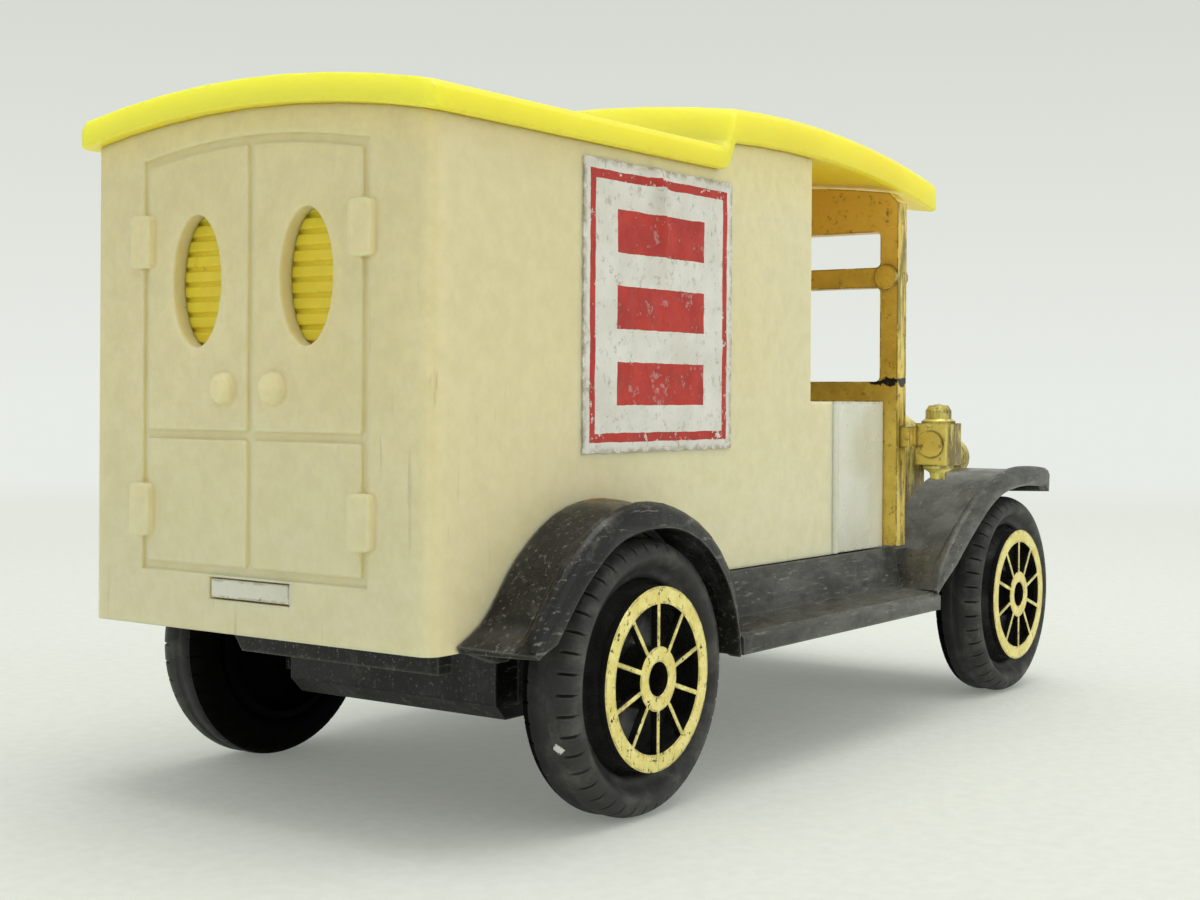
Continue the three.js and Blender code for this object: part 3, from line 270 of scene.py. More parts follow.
def yellow_plastic():
    look = Look("yellow_plastic", Subsurface_Weight=0.9, Subsurface_Scale=0.004, IOR=1.48)
    look.shader.inputs["Subsurface Radius"].default_value = (1.0, 1.0, 0.14)
    cloud = look.fit(look.noise(0.09, 3), 0.35, 0.65)
    body = look.mix(cloud, srgb(255, 227, 58), srgb(252, 220, 50))
    # Faces that do not face sideways lighter: painted light.
    lit = look.math("SUBTRACT", 1.0, look.fit(look.sideways(), 0.45, 0.9))
    body = look.mix(look.math("MULTIPLY", lit, 0.8), body, srgb(255, 240, 90))
    # Downward faces and the roof's inner corners amber: painted shade.
    under = look.fit(look.up(), -0.25, -0.8)
    shade = look.math("MULTIPLY", look.crease(2.6, local=False), 0.85)
    amber_under_shade = look.math("MAXIMUM", shade, under)
    body = look.mix(amber_under_shade, body, srgb(255, 222, 66))
    scuff = look.math("MULTIPLY", look.edge(0.5), look.fit(look.noise(0.9, 5, 0.7), 0.5, 0.68))
    body = look.mix(look.math("MULTIPLY", scuff, 0.6), body, srgb(198, 172, 52))
    spots = look.math("MAXIMUM", look.specks(0.4, 0.14, 0.12), look.specks(0.8, 0.07, 0.1))
    body = look.mix(look.math("MULTIPLY", spots, 0.7), body, srgb(120, 96, 40))
    look.colour(body)
    look.roughness(look.fit(look.noise(0.5, 4), 0.2, 0.8, 0.3, 0.46))
    look.bump((look.noise(0.2, 2), 0.06), (look.noise(2.2, 3), 0.012))
    return look.material


def blind_plastic():
    look = Look("blind_plastic", Subsurface_Weight=0.5, Subsurface_Scale=0.001)
    body = look.mix(look.fit(look.noise(0.3, 4), 0.3, 0.7), srgb(242, 222, 66), srgb(228, 206, 56))
    # Lighter in creases: painted light.
    body = look.mix(look.math("MULTIPLY", look.crease(0.6), 0.9), body, srgb(255, 236, 84))
    grime = look.fit(look.noise(0.7, 5, 0.65, look.stretched(1.0, 1.0, 0.5)), 0.62, 0.74)
    body = look.mix(look.math("MULTIPLY", grime, 0.7), body, srgb(110, 88, 30))
    look.colour(body)
    look.roughness(look.fit(look.noise(1.1, 3), 0.2, 0.8, 0.35, 0.55))
    look.bump((look.noise(1.6, 4), 0.03))
    return look.material


def gold_plating():
    look = Look("gold_plating", Metallic=0.35, Specular_IOR_Level=0.6)
    cloud = look.fit(look.noise(0.5, 5, 0.6), 0.32, 0.68)
    old = look.mix(cloud, srgb(232, 190, 74), srgb(208, 166, 58))
    # Lighter towards the top, where the header sits under the roof: painted light.
    shaded = look.fit(look.z, 33.0, 38.5, 0.0, 0.75)
    old = look.mix(shaded, old, srgb(252, 204, 86))
    # The lantern's plating is lighter gold of its own; the low sill and the side faces take the same
    # lighter gold as painted light.
    fresh_and_lit_gold = look.mix(cloud, srgb(252, 238, 124), srgb(234, 216, 100))
    ahead = look.fit(look.x, LANTERN_REAR, LANTERN_REAR + 0.6)
    low = look.math("MULTIPLY", look.fit(look.z, 27.5, 22.0), 0.35)
    flank = look.fit(look.sideways(), 0.5, 0.9)
    bright = look.math("MAXIMUM", ahead, look.math("MAXIMUM", low, look.math("MULTIPLY", flank, 0.5)))
    body = look.mix(bright, old, fresh_and_lit_gold)
    # Dark streaks on the post's side faces: painted reflection.
    streaks = look.fit(look.noise(0.7, 5, 0.7, look.stretched(2.4, 2.4, 0.3)), 0.44, 0.58)
    on_post = look.math("MULTIPLY", flank, look.math("SUBTRACT", 1.0, ahead))
    streaks = look.math("MULTIPLY", streaks, on_post)
    body = look.mix(look.math("MULTIPLY", streaks, 0.75), body, srgb(92, 76, 42))
    # Lantern's rear faces lighter: painted light.
    rearward = look.math("MULTIPLY", ahead, look.fit(look.facing()[0], -0.5, -0.9))
    body = look.mix(look.math("MULTIPLY", rearward, 0.6), body, srgb(255, 248, 146))
    # Dark patches on the lantern's side and top faces: painted reflection.
    mirrored = look.fit(look.noise(0.9, 4, 0.65, look.stretched(1.8, 1.8, 0.4)), 0.4, 0.56, 0.4, 0.95)
    chimney = look.math("MULTIPLY", look.fit(look.z, LANTERN_TOP, LANTERN_TOP + 0.4), 0.7)
    turned = look.math("MULTIPLY", ahead, look.math("MAXIMUM", flank, chimney))
    body = look.mix(look.math("MULTIPLY", mirrored, turned), body, srgb(112, 92, 44))
    # Edges lighter and darker in patches: painted highlight and painted shade, with some worn plating.
    edge_highlight_patches = look.fit(look.noise(0.6, 4, 0.65), 0.52, 0.58)
    worn = look.mix(edge_highlight_patches, srgb(78, 54, 20), srgb(240, 220, 134))
    worn = look.mix(look.math("MULTIPLY", ahead, 0.6), worn, srgb(84, 64, 24))
    rim = look.math("MULTIPLY", look.edge(0.26), look.fit(ahead, 0.0, 1.0, 0.75, 0.95))
    body = look.mix(rim, body, worn)
    grain = look.fit(look.noise(1.5, 5, 0.7), 0.56, 0.7)
    body = look.mix(look.math("MULTIPLY", grain, 0.75), body, srgb(84, 62, 24))
    # Darker in creases: grime and painted shade.
    crease_grime_and_shade = look.math("MULTIPLY", look.crease(0.7), look.fit(look.noise(0.8, 4), 0.3, 0.55))
    body = look.mix(crease_grime_and_shade, body, srgb(58, 42, 18))
    jag = look.math("MULTIPLY", look.math("SUBTRACT", look.noise(1.1, 4, 0.7), 0.5), 1.6)
    level = look.math("ABSOLUTE", look.math("SUBTRACT", look.math("ADD", look.z, jag), CRACK[2]))
    crack = look.math("MULTIPLY", look.fit(level, 0.34, 0.2), look.fit(look.near(CRACK, 2.2), 0.1, 0.3))
    body = look.mix(crack, body, srgb(20, 17, 12))
    look.colour(body)
    look.roughness(look.fit(look.noise(0.8, 4), 0.25, 0.75, 0.26, 0.5))
    look.bump((look.noise(1.2, 4), 0.04), (look.noise(5.0, 3), 0.01))
    return look.material


def wheel_foil():
    look = Look("wheel_foil", Metallic=0.5, Specular_IOR_Level=0.6)
    cloud = look.fit(look.noise(0.8, 5, 0.65), 0.3, 0.7)
    body = look.mix(cloud, srgb(252, 240, 158), srgb(230, 212, 116))
    scratch = look.fit(look.noise(1.4, 5, 0.75, look.stretched(2.6, 1.0, 0.7)), 0.6, 0.68)
    body = look.mix(look.math("MULTIPLY", scratch, 0.75), body, srgb(120, 98, 40))
    rear = look.fit(look.x, 0.0, -20.0, 0.0, 0.035)
    chips = look.fit(look.math("ADD", look.noise(1.9, 6, 0.72), rear), 0.62, 0.66)
    rim = look.math("MULTIPLY", look.edge(0.4), look.fit(look.noise(1.3, 5, 0.7), 0.44, 0.52))
    body = look.mix(look.math("MAXIMUM", chips, rim), body, srgb(34, 30, 20))
    look.colour(body)
    look.roughness(look.fit(look.noise(1.2, 4), 0.25, 0.75, 0.24, 0.46))
    look.bump((look.noise(1.8, 4), 0.03))
    return look.material


def wheel_hollow_shade():
    # Near-black, almost unreflecting finish for the wheel's back and the tyre's inner side: painted shade
    # of the deep hollow; the dust is real.
    look = Look("wheel_hollow_shade", Specular_IOR_Level=0.03)
    cloud = look.fit(look.noise(0.6, 4), 0.3, 0.7)
    body = look.mix(cloud, srgb(6, 6, 6), srgb(11, 11, 10))
    dust = look.fit(look.noise(1.4, 5, 0.7), 0.62, 0.78)
    look.colour(look.mix(look.math("MULTIPLY", dust, 0.15), body, srgb(50, 48, 42)))
    look.roughness(look.fit(look.noise(0.9, 3), 0.25, 0.75, 0.6, 0.8))
    look.bump((look.noise(1.5, 3), 0.03))
    return look.material


def hub_black():
    look = Look("hub_black", Specular_IOR_Level=0.5)
    cloud = look.fit(look.noise(0.6, 4), 0.3, 0.7)
    body = look.mix(cloud, srgb(20, 20, 19), srgb(32, 32, 30))
    dust = look.fit(look.noise(2.2, 5, 0.7), 0.64, 0.76)
    body = look.mix(look.math("MULTIPLY", dust, 0.5), body, srgb(92, 90, 80))
    look.colour(body)
    look.roughness(look.fit(look.noise(0.9, 3), 0.25, 0.75, 0.16, 0.36))
    look.bump((look.noise(2.0, 3), 0.01))
    return look.material


def black_plastic(name, shade, dusty):
    look = Look(name, Specular_IOR_Level=0.32)
    cloud = look.fit(look.noise(0.18, 4), 0.3, 0.7)
    body = look.mix(cloud, srgb(shade, shade, shade - 3), srgb(shade + 9, shade + 9, shade + 5))
    # Lighter towards the front, in streaks: dust and painted sheen.
    film_dust_and_sheen = look.fit(look.x, -20.0, 2.0, 0.0, 0.4)
    sweep = look.noise(0.45, 6, 0.72, look.stretched(0.45, 1.0, 1.5))
    film_dust_and_sheen = look.math("MULTIPLY", film_dust_and_sheen, look.fit(sweep, 0.3, 0.7, 0.3, 1.5))
    body = look.mix(film_dust_and_sheen, body, srgb(120, 120, 112))
    bloom = look.fit(look.noise(0.5, 6, 0.75), 0.5, 0.72, 0.0, 0.34)
    body = look.mix(bloom, body, srgb(112, 110, 100))
    # Lighter along edges: painted highlight.
    body = look.mix(look.math("MULTIPLY", look.edge(0.3), 0.45), body, srgb(116, 116, 108))
    up = look.fit(look.up(), 0.35, 0.95)
    patches = look.fit(look.noise(0.35, 5, 0.65), 0.42, 0.72)
    dust = look.math("MULTIPLY", look.math("MULTIPLY", up, patches), dusty)
    body = look.mix(dust, body, srgb(118, 116, 106))
    # Darker in corners: painted shade.
    body = look.mix(look.math("MULTIPLY", look.crease(2.6), 0.6), body, srgb(12, 12, 11))
    lines = look.fit(look.noise(1.0, 4, 0.7, look.stretched(0.5, 4.0, 4.0)), 0.57, 0.68)
    body = look.mix(look.math("MULTIPLY", lines, 0.5), body, srgb(142, 140, 130))
    nicks = look.fit(look.noise(2.6, 4, 0.7, look.stretched(0.3, 1.4, 1.1)), 0.66, 0.72)
    along = look.math("ABSOLUTE", look.math("SUBTRACT", look.x, BOARD_MIDDLE))
    board = look.fit(along, 20.0, 15.0, 0.25, 0.75)
    body = look.mix(look.math("MULTIPLY", nicks, board), body, srgb(158, 155, 142))
    rust = look.math("MULTIPLY", look.near(WING_STAIN, 3.0), look.fit(look.noise(0.7, 4), 0.3, 0.6))
    body = look.mix(look.math("MULTIPLY", rust, look.fit(look.y, -15.2, -14.2)), body, srgb(150, 110, 40))
    grains = look.math("MAXIMUM", look.specks(1.1, 0.07, 0.12), look.specks(2.2, 0.04, 0.12))
    body = look.mix(look.math("MULTIPLY", grains, 0.6), body, srgb(150, 144, 128))
    look.colour(body)
    look.roughness(look.fit(look.noise(0.45, 4), 0.25, 0.75, 0.2, 0.44))
    look.bump((look.noise(0.35, 3), 0.05), (look.noise(3.0, 3), 0.012))
    return look.material


def tyre_black():
    look = Look("tyre_black", Specular_IOR_Level=0.4)
    cloud = look.fit(look.noise(0.25, 4), 0.3, 0.7)
    body = look.mix(cloud, srgb(42, 42, 40), srgb(52, 52, 49))
    dust = look.fit(look.noise(0.55, 5, 0.68), 0.44, 0.75)
    body = look.mix(look.math("MULTIPLY", dust, 0.55), body, srgb(104, 104, 95))
    # Inner side near-black: painted shade.
    shaded_inner_side = look.fit(look.math("ABSOLUTE", look.y), TYRE_MIDDLE + 0.4, TYRE_MIDDLE - 1.0)
    body = look.mix(look.math("MULTIPLY", shaded_inner_side, 0.9), body, srgb(12, 12, 11))
    # Lighter along edges: painted highlight.
    body = look.mix(look.math("MULTIPLY", look.edge(0.25), 0.35), body, srgb(100, 100, 92))
    # Darker in creases: painted shade.
    body = look.mix(look.math("MULTIPLY", look.crease(0.7), 0.6), body, srgb(26, 26, 24))
    grains = look.math("MAXIMUM", look.specks(0.8, 0.1, 0.1), look.specks(1.7, 0.05, 0.12))
    body = look.mix(look.math("MULTIPLY", grains, 0.7), body, srgb(150, 148, 136))
    scuff = look.fit(look.math("MULTIPLY", look.near(SCUFF, 0.8), look.noise(2.6, 5, 0.75)), 0.3, 0.36)
    body = look.mix(scuff, body, srgb(222, 222, 214))
    look.colour(body)
    look.roughness(look.fit(look.noise(0.6, 4), 0.25, 0.75, 0.48, 0.68))
    look.bump((look.noise(0.8, 3), 0.04), (look.noise(4.5, 3), 0.015))
    return look.material


def white_paint():
    look = Look("white_paint", Coat_Weight=0.3, Coat_Roughness=0.12)
    cloud = look.fit(look.noise(0.16, 4, place=look.stretched(1.0, 1.0, 0.35)), 0.3, 0.7)
    body = look.mix(cloud, srgb(220, 220, 203), srgb(204, 203, 179))
    # Darker in creases: grime and painted shade.
    crease_grime_and_shade = look.math("MULTIPLY", look.crease(0.8), look.fit(look.noise(0.7, 4), 0.3, 0.7))
    body = look.mix(look.math("MULTIPLY", crease_grime_and_shade, 0.6), body, srgb(142, 126, 90))
    worn = look.math("MULTIPLY", look.edge(0.35), look.fit(look.noise(1.1, 5, 0.7), 0.5, 0.56))
    flakes = look.fit(look.noise(0.75, 6, 0.74), 0.7, 0.72)
    chips = look.math("MAXIMUM", worn, flakes)
    body = look.mix(chips, body, srgb(78, 74, 64))
    spots = look.specks(0.5, 0.12, 0.12)
    body = look.mix(look.math("MULTIPLY", spots, 0.8), body, srgb(70, 62, 48))
    look.colour(body)
    look.roughness(look.fit(look.noise(0.5, 3), 0.25, 0.75, 0.2, 0.36))
    look.bump((look.noise(0.3, 2), 0.05), (look.math("SUBTRACT", 1.0, chips), 0.05))
    return look.material


def axle_steel():
    look = Look("axle_steel", Metallic=1.0)
    streak = look.noise(1.2, 4, 0.6, look.stretched(6.0, 0.5, 6.0))
    body = look.mix(look.fit(streak, 0.3, 0.7), srgb(150, 149, 144), srgb(116, 114, 108))
    rust = look.fit(look.noise(0.9, 5, 0.7), 0.58, 0.72)
    body = look.mix(look.math("MULTIPLY", rust, 0.6), body, srgb(84, 66, 48))
    look.colour(body)
    look.roughness(look.fit(streak, 0.25, 0.75, 0.3, 0.5))
    look.bump((streak, 0.02))
    return look.material


def label_paper(name, place):
    """Worn paper with a red border line and plain red bars, laid out about the label's middle."""
    centre_x, centre_z, half_x, half_z = place
    look = Look(name)
    wander = look.math("MULTIPLY", look.math("SUBTRACT", look.noise(0.9, 4), 0.5), 0.16)
    u = look.math("ABSOLUTE", look.math("SUBTRACT", look.math("ADD", look.x, wander), centre_x))
    drop = look.math("SUBTRACT", look.math("ADD", look.z, wander), centre_z)
    v = look.math("ABSOLUTE", drop)
    inset = look.math("MINIMUM", look.math("SUBTRACT", half_x, u), look.math("SUBTRACT", half_z, v))
    line = look.math(
        "MULTIPLY",
        look.math("GREATER_THAN", inset, BORDER_INSET),
        look.math("LESS_THAN", inset, BORDER_INSET + BORDER_WIDTH),
    )
    row = look.math("PINGPONG", look.math("ADD", drop, BAR_PITCH * 20), BAR_PITCH / 2)
    bar = look.math("LESS_THAN", row, BAR_HEIGHT / 2)
    bar = look.math("MULTIPLY", bar, look.math("LESS_THAN", u, BAR_HALF))
    bar = look.math("MULTIPLY", bar, look.math("LESS_THAN", v, BAR_PITCH + BAR_HEIGHT / 2))
    paper = look.mix(look.fit(look.noise(0.35, 4), 0.3, 0.7), srgb(226, 224, 214), srgb(212, 209, 196))
    grime = look.fit(look.noise(1.3, 6, 0.75), 0.53, 0.7)
    paper = look.mix(look.math("MULTIPLY", grime, 0.75), paper, srgb(142, 136, 114))
    strokes = look.fit(look.noise(1.6, 5, 0.7, look.stretched(1.0, 1.0, 0.45)), 0.6, 0.7)
    paper = look.mix(look.math("MULTIPLY", strokes, 0.5), paper, srgb(120, 112, 90))
    red = look.mix(look.fit(look.noise(0.6, 5), 0.3, 0.7), srgb(191, 50, 36), srgb(167, 40, 30))
    stain = look.fit(look.noise(2.2, 5, 0.7), 0.58, 0.7)
    red = look.mix(look.math("MULTIPLY", stain, 0.55), red, srgb(120, 38, 32))
    worn = look.fit(look.noise(1.2, 6, 0.75), 0.58, 0.62)
    gone = look.math("MULTIPLY", worn, look.fit(inset, 3.2, 0.5, 0.25, 1.0))
    left = look.math("SUBTRACT", 1.0, gone, clamp=True)
    printed = look.math("MULTIPLY", look.math("MAXIMUM", line, bar), left)
    body = look.mix(printed, paper, red)
    fray = look.math("MULTIPLY", look.fit(inset, 0.45, 0.0), look.fit(look.noise(1.5, 5, 0.7), 0.38, 0.6))
    body = look.mix(look.math("MULTIPLY", fray, 0.7), body, srgb(132, 118, 88))
    look.colour(body)
    look.roughness(look.fit(look.noise(1.0, 4), 0.25, 0.75, 0.5, 0.72))
    look.bump((look.noise(0.9, 5, 0.65, look.stretched(1.0, 1.0, 0.6)), 0.07), (look.noise(5.0, 4), 0.02))
    return look.material


# Pieces


def link(name, data):
    made = bpy.data.objects.new(name, data)
    SCENE.collection.objects.link(made)
    return made


def mesh_from(bm, name, materials):
    bmesh.ops.recalc_face_normals(bm, faces=bm.faces)
    mesh = bpy.data.meshes.new(name)
    bm.to_mesh(mesh)
    bm.free()
    for material in materials:
        mesh.materials.append(material)
    return mesh


def smooth(made, angle=35):
    made.data.polygons.foreach_set("use_smooth", [True] * len(made.data.polygons))
    made.data.set_sharp_from_angle(angle=radians(angle))


def stands_for(made, node, body):
    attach(made, body)
    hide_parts(node)


BODY_OF = {node: body for body, nodes in frame["record"]["behaviour"]["bodies"].items() for node in nodes}


WELD = 0.002
FLAT_ANGLE = 0.6


def soften(node, material, bevel, segments=2, angle=28, merge=0.0):
    """A copy of a node's solid with its flat faces and shortest edges merged and its edges rounded."""
    bm = bmesh.new()
    bm.from_mesh(NODES[node].data)
    bmesh.ops.remove_doubles(bm, verts=bm.verts, dist=WELD * MM)
    bmesh.ops.dissolve_limit(
        bm, angle_limit=radians(FLAT_ANGLE), verts=bm.verts, edges=bm.edges, delimit=set())
    if merge:
        bmesh.ops.dissolve_degenerate(bm, dist=merge * MM, edges=bm.edges)
    made = link(f"{node}_skin", mesh_from(bm, f"{node}_skin", [material]))
    round_off = made.modifiers.new("round", "BEVEL")
    round_off.width = bevel * MM
    round_off.segments = segments
    round_off.limit_method = "ANGLE"
    round_off.angle_limit = radians(angle)
    round_off.harden_normals = True
    smooth(made, angle)
    stands_for(made, node, BODY_OF[node])
    return made


def lathe(bm, profile, centre, sides, shape=None, finish=lambda j: 0):
    """A closed ring of (radius, y) points turned about the axle, with a finish for each stretch of it."""
    rings = []
    for i in range(sides):
        turn = 2 * pi * i / sides
        ring = []
        for j, (radius, y) in enumerate(profile):
            r, across = shape(i, j, radius, y) if shape else (radius, y)
            ring.append(bm.verts.new(Vector((
                centre.x + r * MM * sin(turn), across * MM, centre.z + r * MM * cos(turn)))))
        rings.append(ring)
    count = len(profile)
    for i in range(sides):
        near, far = rings[i], rings[(i + 1) % sides]
        for j in range(count):
            k = (j + 1) % count
            face = bm.faces.new((near[j], near[k], far[k], far[j]))
            face.material_index = finish(j)


def rounded(points, passes):
    """A closed profile with its corners cut, pass by pass."""
    for _ in range(passes):
        cut = []
        for (r0, y0), (r1, y1) in zip(points, points[1:] + points[:1]):
            cut.append((r0 * 0.78 + r1 * 0.22, y0 * 0.78 + y1 * 0.22))
            cut.append((r0 * 0.22 + r1 * 0.78, y0 * 0.22 + y1 * 0.78))
        points = cut
    return points


NOTCHES = 42
NOTCH_STEPS = 12
NOTCH_DEPTH = 0.24
BEAD_RADIUS = 5.75
LIP_RADIUS = 6.35
WALL_RADIUS = 7.15
SHOULDER_RADIUS = 7.85
CROWN_DROP = 0.1
SHUT_IN = 0.75


def tyre(node):
    low, high = (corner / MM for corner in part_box(node))
    centre = Vector(((low.x + high.x) / 2, 0, (low.z + high.z) / 2)) * MM
    side = 1 if low.y > 0 else -1
    inner, outer = (low.y, high.y) if side > 0 else (-high.y, -low.y)
    radius = (high.z - low.z) / 2
    profile = rounded([
        (BEAD_RADIUS, inner + 0.45), (LIP_RADIUS, inner), (WALL_RADIUS, inner),
        (SHOULDER_RADIUS, inner + 0.25), (radius, inner + 1.0), (radius, inner + 1.7),
        (radius - CROWN_DROP, inner + 1.85), (radius - CROWN_DROP, outer - 1.85),
        (radius, outer - 1.7), (radius, outer - 1.0), (SHOULDER_RADIUS, outer - 0.25),
        (WALL_RADIUS, outer), (6.75, outer - 0.3), (LIP_RADIUS, outer - 0.8), (BEAD_RADIUS, outer - 1.02),
    ], 2)
    middle = (inner + outer) / 2

    def notched(i, j, r, y):
        outside = y > middle
        phase = (i + (NOTCH_STEPS // 2 if outside else 0)) % NOTCH_STEPS
        reach = held((r - 7.4) / 0.4) * held((abs(y - middle) - 0.85) / 0.3)
        if phase == 0:
            depth = NOTCH_DEPTH * reach * (1.0 if outside else 0.35)
            r -= depth
            y += (-0.5 if outside else 0.5) * depth
        return r, side * y

    bm = bmesh.new()
    # The inner side takes the near-black finish: painted shade.
    shaded_inner_side = [y < inner + SHUT_IN for _, y in profile]
    lathe(bm, profile, centre, NOTCHES * NOTCH_STEPS, notched, finish=lambda j: int(shaded_inner_side[j]))
    made = link(f"{node}_skin", mesh_from(bm, f"{node}_skin", [TYRE, HOLLOW_SHADE]))
    smooth(made, 40)
    stands_for(made, node, BODY_OF[node])


SPOKES = 10
SPOKE_WIDTH = 0.3
HUB_RADIUS = 1.92
RING_RADIUS = 4.4
FACE_RADIUS = 5.45
BORE_RADIUS = 1.0
DISH_RADIUS = 5.0
RIM_RADIUS = 5.8
DISH_DEPTH = 2.2
POCKET_DEPTH = 1.7
SKIN_DEPTH = 0.3
PLATE_DEPTH = 0.5
PLATE_ROUND = 0.07


def circle(radius, count):
    return [(radius * sin(2 * pi * i / count), radius * cos(2 * pi * i / count)) for i in range(count)]


def pocket(index):
    pitch = 2 * pi / SPOKES
    points = []
    for radius, direction, count in ((HUB_RADIUS, -1, 6), (RING_RADIUS, 1, 12)):
        half = pitch / 2 - SPOKE_WIDTH / 2 / radius
        for i in range(count + 1):
            turn = index * pitch + pitch / 2 + direction * half * (2 * i / count - 1)
            points.append((radius * sin(turn), radius * cos(turn)))
    return points


def face_plate():
    """The wheel's spoked face as a flat plate with rounded edges, as a mesh in its own plane."""
    curve = bpy.data.curves.new("wheel_face", "CURVE")
    curve.dimensions = "2D"
    curve.fill_mode = "BOTH"
    curve.extrude = PLATE_DEPTH / 2 - PLATE_ROUND
    curve.bevel_depth = PLATE_ROUND
    curve.bevel_resolution = 2
    curve.offset = -PLATE_ROUND
    loops = [circle(FACE_RADIUS, 96), circle(BORE_RADIUS, 40)]
    loops += [pocket(index) for index in range(SPOKES)]
    for points in loops:
        spline = curve.splines.new("POLY")
        spline.points.add(len(points) - 1)
        for point, (u, v) in zip(spline.points, points):
            point.co = (u, v, 0, 1)
        spline.use_cyclic_u = True
    flat = link("wheel_face", curve)
    mesh = bpy.data.meshes.new_from_object(flat.evaluated_get(bpy.context.evaluated_depsgraph_get()))
    bpy.data.objects.remove(flat)
    bpy.data.curves.remove(curve)
    return mesh


def wheel(node):
    low, high = (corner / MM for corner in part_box(node))
    centre = Vector(((low.x + high.x) / 2, 0, (low.z + high.z) / 2)) * MM
    side = 1 if low.y > 0 else -1
    back, face = (low.y, high.y) if side > 0 else (-high.y, -low.y)
    bm = bmesh.new()
    bm.from_mesh(PLATE)
    bmesh.ops.remove_doubles(bm, verts=bm.verts, dist=1e-4)
    for vert in bm.verts:
        u, v, w = vert.co
        y = side * (face - PLATE_DEPTH / 2 + w)
        vert.co = (centre.x + u * MM, y * MM, centre.z + v * MM)
    bm.normal_update()
    for piece_face in bm.faces:
        outward = abs(piece_face.normal.y) > 0.55
        front = abs(piece_face.calc_center_median().y) > (face - PLATE_ROUND * 1.2) * MM
        piece_face.material_index = 0 if outward and front else 1
    body = [
        (BORE_RADIUS, back), (1.6, back), (1.8, face - DISH_DEPTH), (DISH_RADIUS, face - DISH_DEPTH),
        (5.2, back + 0.05), (5.6, back + 0.05), (RIM_RADIUS, back + 0.3), (RIM_RADIUS, face - 1.6),
        (5.5, face - 1.25), (FACE_RADIUS - 0.12, face - SKIN_DEPTH), (RING_RADIUS + 0.1, face - SKIN_DEPTH),
        (RING_RADIUS, face - POCKET_DEPTH), (HUB_RADIUS, face - POCKET_DEPTH),
        (HUB_RADIUS - 0.1, face - SKIN_DEPTH), (BORE_RADIUS, face - SKIN_DEPTH),
    ]
    # The back of the wheel takes the near-black finish: painted shade.
    lathe(bm, [(r, side * y) for r, y in body], centre, 96, finish=lambda j: 2 if j < 7 else 1)
    made = link(f"{node}_skin", mesh_from(bm, f"{node}_skin", [FOIL, HUB, HOLLOW_SHADE]))
    smooth(made, 40)
    stands_for(made, node, BODY_OF[node])


BORDER_INSET = 0.62
BORDER_WIDTH = 0.55
BAR_HALF = 4.9
BAR_HEIGHT = 2.6
BAR_PITCH = 4.6
LABEL_COLUMNS = 76
LABEL_ROWS = 80
LABEL_STEP = 0.05


def label(node):
    low, high = (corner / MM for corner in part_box(node))
    side = 1 if low.y > 0 else -1
    wall = min(abs(low.y), abs(high.y))
    place = ((low.x + high.x) / 2, (low.z + high.z) / 2, (high.x - low.x) / 2, (high.z - low.z) / 2)

    def crest(u, v):
        """Height of the paper over the wall, with the lifted curl and its wrinkle."""
        flat = 0.06 + 0.03 * noise.noise(Vector((u * 9, v * 9, side)))
        run = held((0.95 - v) / 0.5)
        ridge_u = 0.44 + 0.07 * sin(run * 4) + 0.01 * noise.noise(Vector((0, v * 30, 3)))
        ridge = exp(-(((u - ridge_u) / 0.022) ** 2)) * (0.42 * (1 - run) ** 1.5 + 0.07 * (1 - run))
        curl = exp(-(((u - 0.46) / 0.06) ** 2) - ((v - 0.93) / 0.035) ** 2) * 0.4
        fine = 0.05 * max(0.0, noise.noise(Vector((u * 26, v * 12, 7 + side))))
        return flat + ridge + curl + fine

    bm = bmesh.new()
    sheets = []
    for layer in (0, 1):
        grid = []
        for i in range(LABEL_COLUMNS + 1):
            column = []
            for j in range(LABEL_ROWS + 1):
                u, v = i / LABEL_COLUMNS, j / LABEL_ROWS
                x = low.x + (high.x - low.x) * u
                z = low.z + (high.z - low.z) * v
                if i in (0, LABEL_COLUMNS):
                    x += 0.09 * noise.noise(Vector((u * 3, z * 1.7, 5))) * (1 if i else -1)
                if j in (0, LABEL_ROWS):
                    z += 0.09 * noise.noise(Vector((x * 1.7, v * 3, 9))) * (1 if j else -1)
                lift = crest(u, v) + LABEL_STEP if layer else 0.0
                column.append(bm.verts.new(Vector((x, side * (wall + lift), z)) * MM))
            grid.append(column)
        sheets.append(grid)
    for grid in sheets:
        for i in range(LABEL_COLUMNS):
            for j in range(LABEL_ROWS):
                bm.faces.new((grid[i][j], grid[i + 1][j], grid[i + 1][j + 1], grid[i][j + 1]))
    rim = [(i, 0) for i in range(LABEL_COLUMNS)]
    rim += [(LABEL_COLUMNS, j) for j in range(LABEL_ROWS)]
    rim += [(i, LABEL_ROWS) for i in range(LABEL_COLUMNS, 0, -1)]
    rim += [(0, j) for j in range(LABEL_ROWS, 0, -1)]
    for (i0, j0), (i1, j1) in zip(rim, rim[1:] + rim[:1]):
        under, over = sheets
        bm.faces.new((under[i0][j0], under[i1][j1], over[i1][j1], over[i0][j0]))
    made = link(f"{node}_skin", mesh_from(bm, f"{node}_skin", [label_paper(node, place)]))
    smooth(made, 50)
    stands_for(made, node, BODY_OF[node])


rear_right = [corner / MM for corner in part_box("tyre_rear_right")]
TYRE_MIDDLE = -(rear_right[0].y + rear_right[1].y) / 2

CREAM = cream_plastic()
YELLOW = yellow_plastic()
BLIND = blind_plastic()
GOLD = gold_plating()
FOIL = wheel_foil()
HUB = hub_black()
HOLLOW_SHADE = wheel_hollow_shade()
BLACK = black_plastic("black_plastic", 15, 0.24)
DARK = black_plastic("base_black", 30, 0.3)
SEAT = black_plastic("seat_black", 30, 0.2)
TYRE = tyre_black()
WHITE = white_paint()
STEEL = axle_steel()
PLATE = face_plate()

